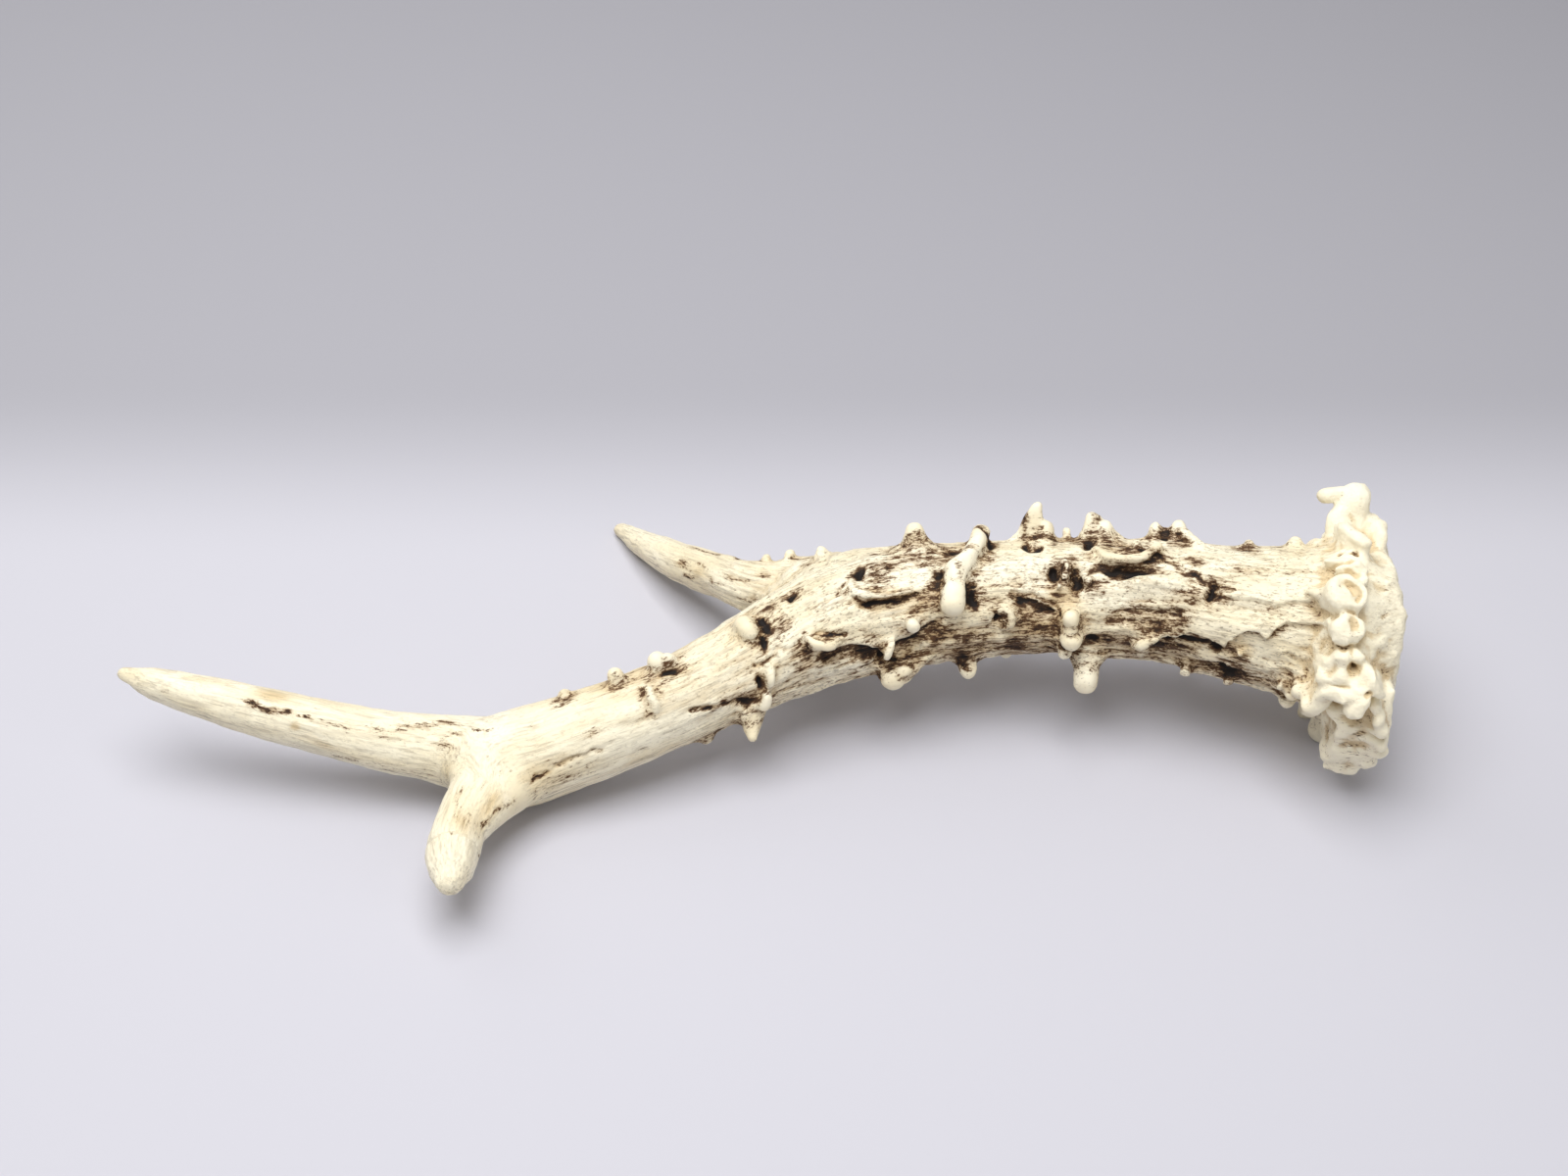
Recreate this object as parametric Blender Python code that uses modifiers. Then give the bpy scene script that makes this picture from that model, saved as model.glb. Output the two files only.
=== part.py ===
"""A cast roe deer antler with three points, lying on its side as on a table.

The tables below are in millimetres, and MM turns them into the scene's metres. A place on a limb is
a station, the distance along its axis from where the axis starts, and an angle around the axis in
degrees: 0 is up, 90 faces -Y, 180 is down. Heights are above the limb's plain round surface. The
beam's own stations start just outside the cast face.
"""

import math
import random
from collections import namedtuple

import bmesh
import bpy
import numpy as np
from mathutils import Matrix, Vector

MM = 0.001
COLLECTION = "deer_antler"
CUTTERS = "saw_cuts_and_table"

# Axes of the limbs: x, y, z and radius. +X runs towards the coronet.
BEAM = (
    (109, -5, 24.8, 12.5), (100, -5, 25.2, 13.8), (92, -4, 25.2, 13.6), (80, -1.5, 25.2, 12.1),
    (66, 3, 24, 11), (45, 5.5, 22.5, 10.4), (25, 4.5, 21.5, 10.8), (10, 1.5, 20, 11),
    (-4, -4.8, 18, 9.4), (-18, -12.2, 15, 8.3), (-34, -18.4, 11.4, 8.4), (-48, -22, 8.5, 8.9),
)
TOP_TINE = (
    (-34, -18.4, 11.4, 8.2), (-48, -22, 8.6, 8.5), (-60, -20.6, 9.4, 6.6), (-72, -19.8, 11.2, 6),
    (-86, -18.1, 14.4, 5.3), (-100, -15.8, 17.6, 4.1), (-110, -13.7, 19.3, 2.9), (-116, -11.8, 19.9, 1.4),
)
FRONT_TINE = (
    (27, 8, 21.5, 7.6), (10, 9, 19.6, 7.6), (-4, 14.4, 16.8, 5.8), (-12, 23, 13.3, 4.6),
    (-20, 31.7, 9.4, 3.9), (-28, 42, 4.8, 2.7), (-33, 49, 1.2, 1.6),
)
REAR_TINE = (
    (-44, -18, 9, 5.5), (-50, -25, 9, 6.4), (-53.2, -31.5, 9.4, 5.2), (-54.8, -38, 10.2, 4.7),
    (-55.4, -45, 11.2, 4.7), (-55.2, -50, 11.9, 3.8), (-55, -52.4, 12.2, 2.6),
)
# The web of bone that rounds the crotch between the beam and the rear tine.
REAR_WEB = ((-28, -17, 12.2, 5.4), (-42, -25, 9, 7.2), (-49.5, -31.5, 9.2, 5.8), (-53.6, -39, 10.2, 4))
BASE_FACE = 2.2  # station of the cast face
BASE_EDGE = 1.6  # rounding between the cast face and the side of the base

# Pearls, the bony beads of the beam: height, radius at the root and at the tip, and how far the tip
# leans towards higher stations.
Pearl = namedtuple("Pearl", "station angle height root tip lean", defaults=(0.0,))
BEAM_PEARLS = (
    Pearl(20.5, -38, 1.8, 2.4, 1.5), Pearl(28.5, -35, 1.0, 1.8, 1.0), Pearl(26.5, 84, 1.2, 1.3, 1.0),
    Pearl(40.8, -32, 4.2, 2.2, 1.5), Pearl(45, -32, 4.2, 2.2, 1.5), Pearl(47, -12, 1.2, 2.0, 1.3),
    Pearl(46, 94, 2.0, 1.8, 1.2), Pearl(54.7, -30, 5.8, 3.0, 1.5), Pearl(59.5, -38, 2.6, 1.1, 0.8),
    Pearl(64, -33, 7.8, 3.8, 0.9), Pearl(60.5, 36, 1.5, 1.5, 1.0), Pearl(56, 30, 1.3, 1.3, 0.9),
    Pearl(58.5, 71, 2.4, 2.2, 1.8), Pearl(58.3, 92, 2.8, 2.5, 2.2), Pearl(55.6, 120, 7.2, 3.6, 2.2),
    Pearl(74.4, -34, 4.6, 2.8, 1.5, -0.8), Pearl(78.4, 122, 3.6, 2.6, 1.4), Pearl(85.3, -32, 4.4, 3.0, 2.0),
    Pearl(88.5, 65, 2.2, 2.0, 1.5), Pearl(93.5, 5, 1.4, 2.6, 1.8), Pearl(93, 121, 4.4, 3.2, 1.9, -1.0),
    Pearl(116.8, 6, 2.4, 2.5, 1.9), Pearl(117, -14, 2.6, 2.5, 2.0), Pearl(120.2, 112, 1.8, 1.8, 1.1),
    Pearl(123.2, 121, 3.9, 3.0, 0.9, 2.6), Pearl(134.5, -22, 3.6, 2.7, 2.1), Pearl(142.6, -26, 3.6, 1.8, 1.5),
    Pearl(152, -30, 1.2, 2.4, 1.5), Pearl(131.5, 135, 1.2, 3.2, 2.0), Pearl(18.5, 128, 2.2, 2.8, 1.8),
    Pearl(14.5, 130, 5.0, 2.8, 1.8),
)
FRONT_PEARLS = (
    Pearl(20, -42, 1.8, 2.0, 1.2), Pearl(25.5, -40, 1.8, 1.9, 1.2), Pearl(31, -38, 1.6, 1.8, 1.1),
)

# Pearls of the far side and the underside, scattered by a rule: stations, angles, spacing, heights.
FAR_STATIONS = (20, 112)
FAR_ANGLES = (172, 268)
FAR_SPACING = 4.0
FAR_HEIGHTS = (1.4, 4.6)
FAR_TRIES = 900
FAR_ARC = 0.19  # millimetres of beam surface to a degree
SEED = 7

# Ridges and ledges: half width, then station, angle and height along the crest.
Ridge = namedtuple("Ridge", "half_width crest")
BEAM_RIDGES = (
    Ridge(2.0, ((74.6, -34, 4.0), (77, -12, 2.6), (79, 8, 2.3), (80.3, 28, 2.9), (80.8, 50, 3.6))),
    Ridge(1.2, ((108.8, 40, 0.9), (108.3, 52, 2.0), (106, 61, 2.5), (103, 65, 2.1), (97.5, 69, 0.7))),
    Ridge(1.2, ((95.5, 5, 1.3), (97.5, 16, 2.1), (97.2, 28, 2.3), (94.5, 35, 2.1), (86, 33, 0.4))),
    Ridge(1.2, ((56, 12, 0.6), (52.5, 9, 2.1), (49, 8, 2.6), (45.5, 3, 2.6), (43.2, -12, 2.1))),
    Ridge(2.4, ((54, 31, 0.2), (47, 31, 1.3), (41, 32, 1.9), (36.8, 32, 2.3))),
    Ridge(1.2, ((56, 46, 0.3), (51, 54, 1.5), (45, 56, 1.7), (40, 57, 1.6), (33, 50, 0.4))),
    Ridge(1.3, ((43, 80, 0.4), (36, 83, 1.4), (29.7, 77, 2.2), (28, 67, 1.7), (25.6, 62, 1.5))),
    Ridge(1.3, ((25.6, 62, 1.5), (22.6, 66, 2.1), (20.6, 54, 1.6), (17.6, 53, 1.7), (13.8, 76, 2.0))),
    Ridge(1.2, ((80.8, 54, 2.2), (84, 50, 1.7), (86.8, 57, 1.6), (88.5, 66, 2.0))),
    Ridge(1.0, ((88.5, 66, 1.8), (91.5, 75, 1.5), (93.6, 77, 1.9), (94.3, 86, 2.4), (94.5, 97, 2.4))),
    Ridge(1.2, ((71, 41, 0.3), (67, 44, 1.6), (63.5, 49, 1.7), (60.5, 60, 1.7))),
    Ridge(1.0, ((58, 72, 1.4), (55.3, 73, 1.8), (52.5, 77, 1.7), (50.5, 84, 0.8))),
    Ridge(0.8, ((59.7, 4, 0.8), (59.5, 16, 2.1), (59.4, 28, 2.1), (60.4, 36, 1.6))),
    Ridge(1.2, ((46, 94, 2.0), (43, 89, 1.6), (37.5, 80, 0.6))),
    Ridge(0.9, ((119.2, 56, 0.5), (119.5, 72, 2.3), (119.9, 88, 2.6), (120.3, 106, 2.3))),
    Ridge(0.9, ((139.3, 16, 0.6), (138.8, 30, 1.4), (138.2, 46, 1.3))),
    Ridge(1.1, ((134, 60, 0.2), (128, 67, 1.1), (123, 80, 2.0), (122.8, 104, 2.4))),
    Ridge(1.1, ((54.7, -30, 3.8), (52.3, -38, 2.2), (50.5, -44, 0.7))),
    Ridge(1.0, ((54.7, -30, 3.6), (57.2, -27, 2.1), (57.4, -14, 1.3), (55, 5, 0.6))),
    Ridge(1.4, ((64, -33, 5.4), (66.5, -38, 2.8), (70.5, -43, 0.5))),
    Ridge(1.1, ((40.5, -32, 3.0), (38.6, -22, 1.9), (36.8, 0, 0.5))),
    Ridge(1.1, ((40.5, -34, 3.1), (43, -40, 2.8), (45.5, -34, 3.1))),
    Ridge(1.0, ((31, 31, 0.3), (23.8, 36, 1.6), (19, 36, 1.1), (14, 33, 1.0))),
)
Ring = namedtuple("Ring", "station angle height radius half_width sweep")
BEAM_RINGS = (Ring(72.2, 66, 1.7, 2.1, 0.9, 300), Ring(52, 93, 1.0, 1.5, 0.8, 300))

# Pits and undercuts beside the pearls: depth, and radius along the limb and around it.
Pit = namedtuple("Pit", "station angle depth along around")
BEAM_PITS = (
    Pit(43, -24, 1.6, 1.8, 1.6), Pit(48.6, -18, 1.0, 1.6, 1.2), Pit(49.5, 15, 1.5, 3.8, 1.0),
    Pit(34.7, 32, 1.9, 0.9, 1.9), Pit(61.6, 18, 2.0, 1.4, 1.4), Pit(57.4, 33, 2.0, 1.5, 1.5),
    Pit(56, -20, 1.4, 1.2, 1.6), Pit(65, -16, 1.2, 1.4, 1.2), Pit(73.6, -22, 2.0, 1.3, 2.0),
    Pit(78.6, -14, 1.3, 1.6, 1.2), Pit(82.6, 20, 1.2, 1.4, 1.6), Pit(78.4, 46, 1.4, 0.9, 2.4),
    Pit(72.2, 66, 1.6, 1.3, 1.3), Pit(64.5, 58, 1.2, 2.6, 1.3), Pit(95.6, 19, 1.5, 1.2, 1.4),
    Pit(94.5, 42, 1.3, 3.0, 1.0), Pit(105.2, 53, 1.4, 2.6, 1.1), Pit(104, 73, 1.0, 4.0, 1.1),
    Pit(92.3, 86, 1.4, 1.0, 1.6), Pit(95.9, 96, 1.4, 1.6, 1.8), Pit(107, -4, 1.4, 1.6, 1.4),
    Pit(114.8, 8, 1.2, 1.3, 2.0), Pit(119, 36, 1.0, 1.4, 2.0), Pit(118.4, 88, 1.3, 0.9, 1.8),
    Pit(124, 88, 1.2, 1.8, 1.4), Pit(134.5, 8, 1.0, 2.4, 1.0), Pit(54, 88, 1.2, 1.8, 1.4),
    Pit(33, 96, 0.9, 3.4, 1.2), Pit(24, 80, 1.0, 3.0, 1.6), Pit(18, 72, 1.1, 2.4, 2.0),
    Pit(45, 68, 0.8, 6.0, 1.6),
)

# The coronet, the knobby ring above the cast base, with the same columns as the beam's pearls.
CORONET_STATION = 10.0
CORONET_RING = (2.6, 3.4)  # height of the ring's crest, and its half width
CORONET_PEARLS = (
    Pearl(10, -47, 12.2, 3.4, 2.8, -1.6), Pearl(7.4, -43, 11.0, 2.8, 2.5, 0.2),
    Pearl(4.2, -50, 7.4, 3.4, 2.5, -0.6), Pearl(11.5, -12, 3.8, 2.6, 1.9), Pearl(7.5, -10, 3.4, 2.6, 1.8),
    Pearl(12.2, 12, 3.6, 2.4, 1.7), Pearl(8.2, 16, 3.2, 2.4, 1.7), Pearl(11.4, 33, 3.6, 3.2, 2.6),
    Pearl(11.4, 53, 5.2, 2.9, 2.4), Pearl(8.4, 44, 3.6, 2.2, 1.6), Pearl(12, 70, 4.6, 2.4, 1.7),
    Pearl(8.6, 66, 4.0, 2.2, 1.6), Pearl(15, 87, 4.2, 2.4, 1.7), Pearl(12.2, 86, 4.8, 2.3, 1.7),
    Pearl(9.2, 84, 5.0, 2.3, 1.7), Pearl(6.8, 78, 4.4, 2.2, 1.5), Pearl(6.4, 97, 5.4, 2.2, 1.5),
    Pearl(4.4, 99, 5.0, 2.2, 1.6), Pearl(9.2, 107, 6.4, 2.4, 1.8), Pearl(12, 134, 11.6, 3.6, 2.2),
    Pearl(9.6, 138, 13.0, 3.8, 2.2), Pearl(7.2, 137, 13.2, 3.6, 2.3), Pearl(5.4, 134, 11.8, 3.4, 2.0),
    Pearl(4.8, 126, 9.4, 3.0, 1.8), Pearl(10.8, 118, 7.4, 3.0, 1.9),
)
CORONET_RIDGES = (
    Ridge(1.6, ((9.0, -47, 11.6), (12.5, -47, 11.9), (15.6, -47, 12.3))),
    Ridge(1.4, ((13, -40, 5.4), (10, -38, 6.0), (7.2, -35, 4.6))),
    Ridge(1.4, ((12.8, 121, 5.4), (9, 125, 8.2), (5, 124, 9.0))),
    Ridge(1.3, ((12.6, 96, 5.2), (9.4, 95, 6.0))),
)
CORONET_RINGS = (Ring(11.4, 33, 5.6, 2.1, 1.3, 280),)
CORONET_FAR_ANGLES = (150, 170, 188, 206, 224, 243, 262, 281, 300)
CORONET_FAR_HEIGHTS = (11.8, 11.2, 12.2, 9.4, 10.6, 8.2, 9.6, 7.6, 8.8)

# How the shapes are fused into one skin, and how many triangles the whole antler keeps.
VOXEL = 0.7
SMOOTHING = 0.5
SMOOTH_PASSES = 2
TRIANGLES = 9000
LIMB_SIDES = 12  # bevel resolution of a limb
TUBE_SIDES = 3  # bevel resolution of a pearl or ridge
SAMPLES = 12  # points between two control points of a smooth curve
BEAM_STEP = 0.4  # between the rings of the beam
RIDGE_STEP = 4  # every so many of them carry a ridge
RING_STEP = 20  # degrees between the points of a ring
DOME = (30, 55, 78)  # degrees round the dome at the end of a tube
PIT_REACH = 4.0  # how far below the surface a pit still moves the skin
WELD = 0.001

# Saw cuts at the main forks: name, limb, station and radius of the cut.
SAW_CUTS = (
    ("first_fork", BEAM, 115, 13), ("front_tine_root", FRONT_TINE, 36, 8.5),
    ("second_fork", TOP_TINE, 29, 9.5), ("rear_tine_root", REAR_TINE, 20.5, 9.5),
)
SAW_WIDTH = 0.3
SAW_SIDES = 32
TABLE_SIZE = 400.0
TABLE_DEPTH = 20.0

# Rough middles of the parts, by which they are told apart.
NODE_CENTRES = {
    "lower_beam": (54, 0, 26), "upper_beam": (-35, -15, 12), "top_tine": (-88, -18, 14),
    "front_tine": (-19, 31, 9), "rear_tine": (-54, -43, 11),
}

IVORY = (0.83, 0.76, 0.61, 1)
TINE_IVORY = (0.86, 0.8, 0.66, 1)
ROUGHNESS = 0.55
SHARP_ANGLE = 50


class Limb:
    """A smooth, tapering axis through a few control points, with the round surface about it."""

    def __init__(self, points):
        self.samples = smooth_curve(points)
        steps = np.linalg.norm(np.diff(self.samples[:, :3], axis=0), axis=1)
        self.stations = np.concatenate([[0], np.cumsum(steps)])
        self.length = self.stations[-1]

    def place(self, station):
        """Centre, radius and the directions along, up and sideways at a station."""
        here = self.interpolate(station)
        ahead = self.interpolate(station + 1)
        behind = self.interpolate(station - 1)
        along = Vector(ahead[:3] - behind[:3]).normalized()
        up = (Vector((0, 0, 1)) - along * along.z).normalized()
        side = along.cross(up)
        if side.y > 0:
            side.negate()
        return Vector(here[:3]), here[3], along, up, side

    def interpolate(self, station):
        station = min(max(station, 0), self.length)
        return np.array([np.interp(station, self.stations, column) for column in self.samples.T])

    def surface(self, station, angle, height=0.0):
        """The point this high above the round surface, and the direction outwards there."""
        centre, radius, _, up, side = self.place(station)
        turn = math.radians(angle)
        outward = up * math.cos(turn) + side * math.sin(turn)
        return centre + outward * (radius + height), outward

    def path(self):
        return [(Vector(sample[:3]), sample[3]) for sample in self.samples]


def smooth_curve(points):
    """Catmull-Rom curve through the points, each of which may hold a radius or height as well."""
    points = np.array(points, float)
    ends = (2 * points[0] - points[1], 2 * points[-1] - points[-2])
    padded = np.vstack([ends[0], points, ends[1]])
    curve = []
    for before, start, end, after in zip(padded, padded[1:], padded[2:], padded[3:]):
        for t in np.linspace(0, 1, SAMPLES, endpoint=False):
            bend = 2 * before - 5 * start + 4 * end - after
            twist = 3 * start - before - 3 * end + after
            curve.append(start + 0.5 * ((end - before) * t + bend * t**2 + twist * t**3))
    curve.append(points[-1])
    return np.array(curve)


def domed(path):
    """The path with a round end added after its last point."""
    (before, _), (end, radius) = path[-2:]
    along = (end - before).normalized()
    turns = [math.radians(degrees) for degrees in DOME]
    return path + [(end + along * radius * math.sin(a), radius * math.cos(a)) for a in turns]


def pearl_path(limb, pearl):
    """A bead on a flared root, from just under the surface to its round tip."""
    _, _, along, _, _ = limb.place(pearl.station)
    foot, outward = limb.surface(pearl.station, pearl.angle)
    top = foot + outward * (pearl.height - pearl.tip) + along * pearl.lean
    path = [(foot - outward * pearl.root, pearl.root * 1.2)]
    if pearl.height > 2 * pearl.tip:
        neck = 0.43 * (pearl.root + pearl.tip)
        path += [(foot, pearl.root), (foot.lerp(top, 0.45), neck)]
    return domed(path + [(top, pearl.tip)])


def ridge_path(limb, ridge):
    """A rounded crest that follows the limb's surface and sinks into it at both ends."""
    path = []
    for station, angle, height in smooth_curve(ridge.crest)[::RIDGE_STEP]:
        point, _ = limb.surface(station, angle, height - ridge.half_width)
        path.append((point, ridge.half_width))
    return domed(domed(path[::-1])[::-1])


def ring_path(limb, ring):
    """An open ring of bone, like the lip of a small crater."""
    centre, outward = limb.surface(ring.station, ring.angle, ring.height - ring.half_width)
    _, _, along, _, _ = limb.place(ring.station)
    across = outward.cross(along)
    path = []
    for degrees in range(0, ring.sweep + 1, RING_STEP):
        turn = math.radians(degrees)
        offset = along * math.cos(turn) + across * math.sin(turn)
        path.append((centre + offset * ring.radius, ring.half_width))
    return domed(domed(path[::-1])[::-1])


def beam_path(limb):
    """The beam itself, with the edge of the cast face rounded off."""
    path = []
    for station in np.arange(BASE_FACE, limb.length, BEAM_STEP):
        centre, radius, *_ = limb.place(station)
        inset = max(0, BASE_EDGE - (station - BASE_FACE))
        path.append((centre, radius - BASE_EDGE + math.sqrt(BASE_EDGE**2 - inset**2)))
    return domed(path)


def far_side_pearls():
    """Pearls for the side that faces away and down, kept apart from one another."""
    choose = random.Random(SEED)
    pearls = []
    for _ in range(FAR_TRIES):
        station = choose.uniform(*FAR_STATIONS)
        angle = choose.uniform(*FAR_ANGLES)
        height = choose.uniform(*FAR_HEIGHTS)
        gaps = [math.hypot(station - p.station, (angle - p.angle) * FAR_ARC) for p in pearls]
        if min(gaps, default=math.inf) > FAR_SPACING + height:
            pearls.append(Pearl(station, angle, height, 1.5 + 0.28 * height, 0.9 + 0.14 * height))
    return pearls


def coronet_paths(beam):
    """The ring above the cast base, with its knobs: the nearer ones placed, the far ones by rule."""
    ring_height, half_width = CORONET_RING
    crest = [(CORONET_STATION, angle, ring_height) for angle in range(0, 361, RING_STEP)]
    paths = [ridge_path(beam, Ridge(half_width, crest))]
    knobs = list(CORONET_PEARLS)
    for index, (angle, height) in enumerate(zip(CORONET_FAR_ANGLES, CORONET_FAR_HEIGHTS)):
        station = CORONET_STATION + (-1.5, 2, 0.5)[index % 3]
        knobs.append(Pearl(station, angle, height, 3.4, 2.3))
        knobs.append(Pearl(station + (4, -4.5, 3.5)[index % 3], angle + 9, 0.55 * height, 2.6, 1.7))
    paths += [pearl_path(beam, knob) for knob in knobs]
    paths += [ridge_path(beam, ridge) for ridge in CORONET_RIDGES]
    paths += [ring_path(beam, ring) for ring in CORONET_RINGS]
    return paths


def clear_scene():
    for item in list(bpy.data.objects):
        bpy.data.objects.remove(item, do_unlink=True)


def collection(name):
    made = bpy.data.collections.new(name)
    bpy.context.scene.collection.children.link(made)
    return made


def new_object(name, mesh, group):
    made = bpy.data.objects.new(name, mesh)
    group.objects.link(made)
    return made


def baked(item):
    """The object with its modifiers applied to its mesh."""
    bpy.context.view_layer.update()
    graph = bpy.context.evaluated_depsgraph_get()
    mesh = bpy.data.meshes.new_from_object(item.evaluated_get(graph))
    item.modifiers.clear()
    item.data = mesh
    return item


def swept(name, paths, sides, group):
    """One mesh of closed tubes, each swept along a path of points and radii."""
    curve = bpy.data.curves.new(name, "CURVE")
    curve.dimensions = "3D"
    curve.bevel_depth = MM
    curve.bevel_resolution = sides
    curve.use_fill_caps = True
    for path in paths:
        spline = curve.splines.new("POLY")
        spline.points.add(len(path) - 1)
        for knot, (place, radius) in zip(spline.points, path):
            knot.co = (*(place * MM), 1)
            knot.radius = radius
    guide = new_object(name + "_curve", curve, group)
    bpy.context.view_layer.update()
    graph = bpy.context.evaluated_depsgraph_get()
    mesh = bpy.data.meshes.new_from_object(guide.evaluated_get(graph))
    weld_caps(mesh)
    tubes = new_object(name, mesh, group)
    tubes.matrix_world = guide.matrix_world
    bpy.data.objects.remove(guide)
    return tubes


def weld_caps(mesh):
    shell = bmesh.new()
    shell.from_mesh(mesh)
    bmesh.ops.remove_doubles(shell, verts=shell.verts, dist=WELD * MM)
    shell.to_mesh(mesh)
    shell.free()


def joined(name, items, group):
    """The meshes of several objects in one object, which takes their place."""
    shell = bmesh.new()
    for item in items:
        shell.from_mesh(item.data)
        bpy.data.objects.remove(item)
    mesh = bpy.data.meshes.new(name)
    shell.to_mesh(mesh)
    shell.free()
    return new_object(name, mesh, group)


def fused(item):
    """One skin over everything in the mesh, with the joins softened."""
    remesh = item.modifiers.new("one skin", "REMESH")
    remesh.mode = "VOXEL"
    remesh.voxel_size = VOXEL * MM
    smooth = item.modifiers.new("soft joins", "SMOOTH")
    smooth.factor = SMOOTHING
    smooth.iterations = SMOOTH_PASSES
    return baked(item)


def carve_pits(item, limb, pits):
    """Presses each pit into the skin, deepest at its middle."""
    mesh = item.data
    points = np.empty(len(mesh.vertices) * 3)
    mesh.vertices.foreach_get("co", points)
    points = points.reshape(-1, 3) / MM
    for pit in pits:
        centre, outward = limb.surface(pit.station, pit.angle)
        along = limb.place(pit.station)[2]
        across = outward.cross(along)
        away = points - centre
        spread = (away @ along / pit.along) ** 2 + (away @ across / pit.around) ** 2
        spread += (away @ outward / PIT_REACH) ** 2
        points -= np.outer(np.exp(-spread) * pit.depth, outward)
    mesh.vertices.foreach_set("co", (points * MM).ravel())
    mesh.update()


def thinned(item):
    """The same shape with fewer triangles, closest together where it bends most."""
    item.modifiers.new("triangles", "TRIANGULATE")
    baked(item)
    fewer = item.modifiers.new("fewer triangles", "DECIMATE")
    fewer.ratio = TRIANGLES / len(item.data.polygons)
    return baked(item)


def cut_away(item, cutter):
    """Cuts the cutter's space out of the object. The cutter stays, as a guide that isn't rendered."""
    cutter.hide_render = True
    cutter.display_type = "WIRE"
    cut = item.modifiers.new(cutter.name, "BOOLEAN")
    cut.operation = "DIFFERENCE"
    cut.solver = "EXACT"
    cut.object = cutter
    baked(item)


def table_cutter(group):
    """The space below the table top, which gives the antler small flats where it rests."""
    shell = bmesh.new()
    bmesh.ops.create_cube(shell, size=1)
    bmesh.ops.scale(shell, vec=Vector((TABLE_SIZE, TABLE_SIZE, TABLE_DEPTH)) * MM, verts=shell.verts)
    bmesh.ops.translate(shell, vec=(0, 0, -TABLE_DEPTH * MM / 2), verts=shell.verts)
    mesh = bpy.data.meshes.new("table")
    shell.to_mesh(mesh)
    shell.free()
    return new_object("table", mesh, group)


def saw_cutter(name, limb, station, radius, group):
    """A thin disc square to the limb, where the antler is split at a fork."""
    centre, _, along, _, _ = limb.place(station)
    shell = bmesh.new()
    bmesh.ops.create_cone(shell, cap_ends=True, segments=SAW_SIDES, radius1=radius * MM,
                          radius2=radius * MM, depth=SAW_WIDTH * MM)
    turn = along.to_track_quat("Z", "Y").to_matrix()
    bmesh.ops.rotate(shell, cent=(0, 0, 0), matrix=turn, verts=shell.verts)
    bmesh.ops.translate(shell, vec=centre * MM, verts=shell.verts)
    mesh = bpy.data.meshes.new(name)
    shell.to_mesh(mesh)
    shell.free()
    return new_object(name, mesh, group)


def split_loose(item, group):
    """Each separate body of the mesh as an object of its own."""
    shell = bmesh.new()
    shell.from_mesh(item.data)
    left = set(shell.verts)
    bodies = []
    while left:
        body = {left.pop()}
        edge_of_body = list(body)
        while edge_of_body:
            vert = edge_of_body.pop()
            near = {edge.other_vert(vert) for edge in vert.link_edges} - body
            body |= near
            edge_of_body += near
        left -= body
        bodies.append({vert.index for vert in body})
    shell.free()
    parts = []
    for body in bodies:
        mesh = item.data.copy()
        piece = bmesh.new()
        piece.from_mesh(mesh)
        others = [vert for vert in piece.verts if vert.index not in body]
        bmesh.ops.delete(piece, geom=others, context="VERTS")
        piece.to_mesh(mesh)
        piece.free()
        parts.append(new_object("part", mesh, group))
    bpy.data.objects.remove(item)
    return parts


def middle(item):
    corners = np.array([vertex.co for vertex in item.data.vertices])
    return Vector((corners.min(axis=0) + corners.max(axis=0)) / 2)


def bone(name, colour):
    made = bpy.data.materials.new(name)
    made.use_nodes = True
    shader = made.node_tree.nodes["Principled BSDF"]
    shader.inputs["Base Color"].default_value = colour
    shader.inputs["Roughness"].default_value = ROUGHNESS
    shader.inputs["Metallic"].default_value = 0
    return made


def finish(parts):
    """Names each part after the limb that it holds, and gives it its bone and smooth shading."""
    for name, centre in NODE_CENTRES.items():
        part = min(parts, key=lambda item: (middle(item) - Vector(centre) * MM).length)
        part.name = name
        part.data.name = name
        part.data.materials.clear()
        part.data.materials.append(bone(name + "_bone", TINE_IVORY if "tine" in name else IVORY))
        part.data.shade_smooth()
        part.data.set_sharp_from_angle(angle=math.radians(SHARP_ANGLE))


def centre_on_table(parts, cutters):
    """Moves everything so that the middle of the antler's box is over the origin."""
    corners = np.array([vertex.co for part in parts for vertex in part.data.vertices])
    shift = -Vector((corners.min(axis=0) + corners.max(axis=0)) / 2)
    shift.z = 0
    for item in parts + cutters:
        item.data.transform(Matrix.Translation(shift))


def main():
    clear_scene()
    antler = collection(COLLECTION)
    cutters = collection(CUTTERS)
    beam = Limb(BEAM)
    front = Limb(FRONT_TINE)
    others = (TOP_TINE, FRONT_TINE, REAR_TINE, REAR_WEB)
    limbs = [beam_path(beam)] + [domed(Limb(points).path()) for points in others]
    growths = [pearl_path(beam, pearl) for pearl in BEAM_PEARLS + tuple(far_side_pearls())]
    growths += [pearl_path(front, pearl) for pearl in FRONT_PEARLS]
    growths += [ridge_path(beam, ridge) for ridge in BEAM_RIDGES]
    growths += [ring_path(beam, ring) for ring in BEAM_RINGS]
    growths += coronet_paths(beam)
    tubes = [swept("limbs", limbs, LIMB_SIDES, antler), swept("growths", growths, TUBE_SIDES, antler)]
    skin = fused(joined("skin", tubes, antler))
    carve_pits(skin, beam, BEAM_PITS)
    thinned(skin)
    cut_away(skin, table_cutter(cutters))
    for name, points, station, radius in SAW_CUTS:
        cut_away(skin, saw_cutter(name, Limb(points), station, radius, cutters))
    parts = split_loose(skin, antler)
    finish(parts)
    centre_on_table(parts, list(cutters.objects))


main()
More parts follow.
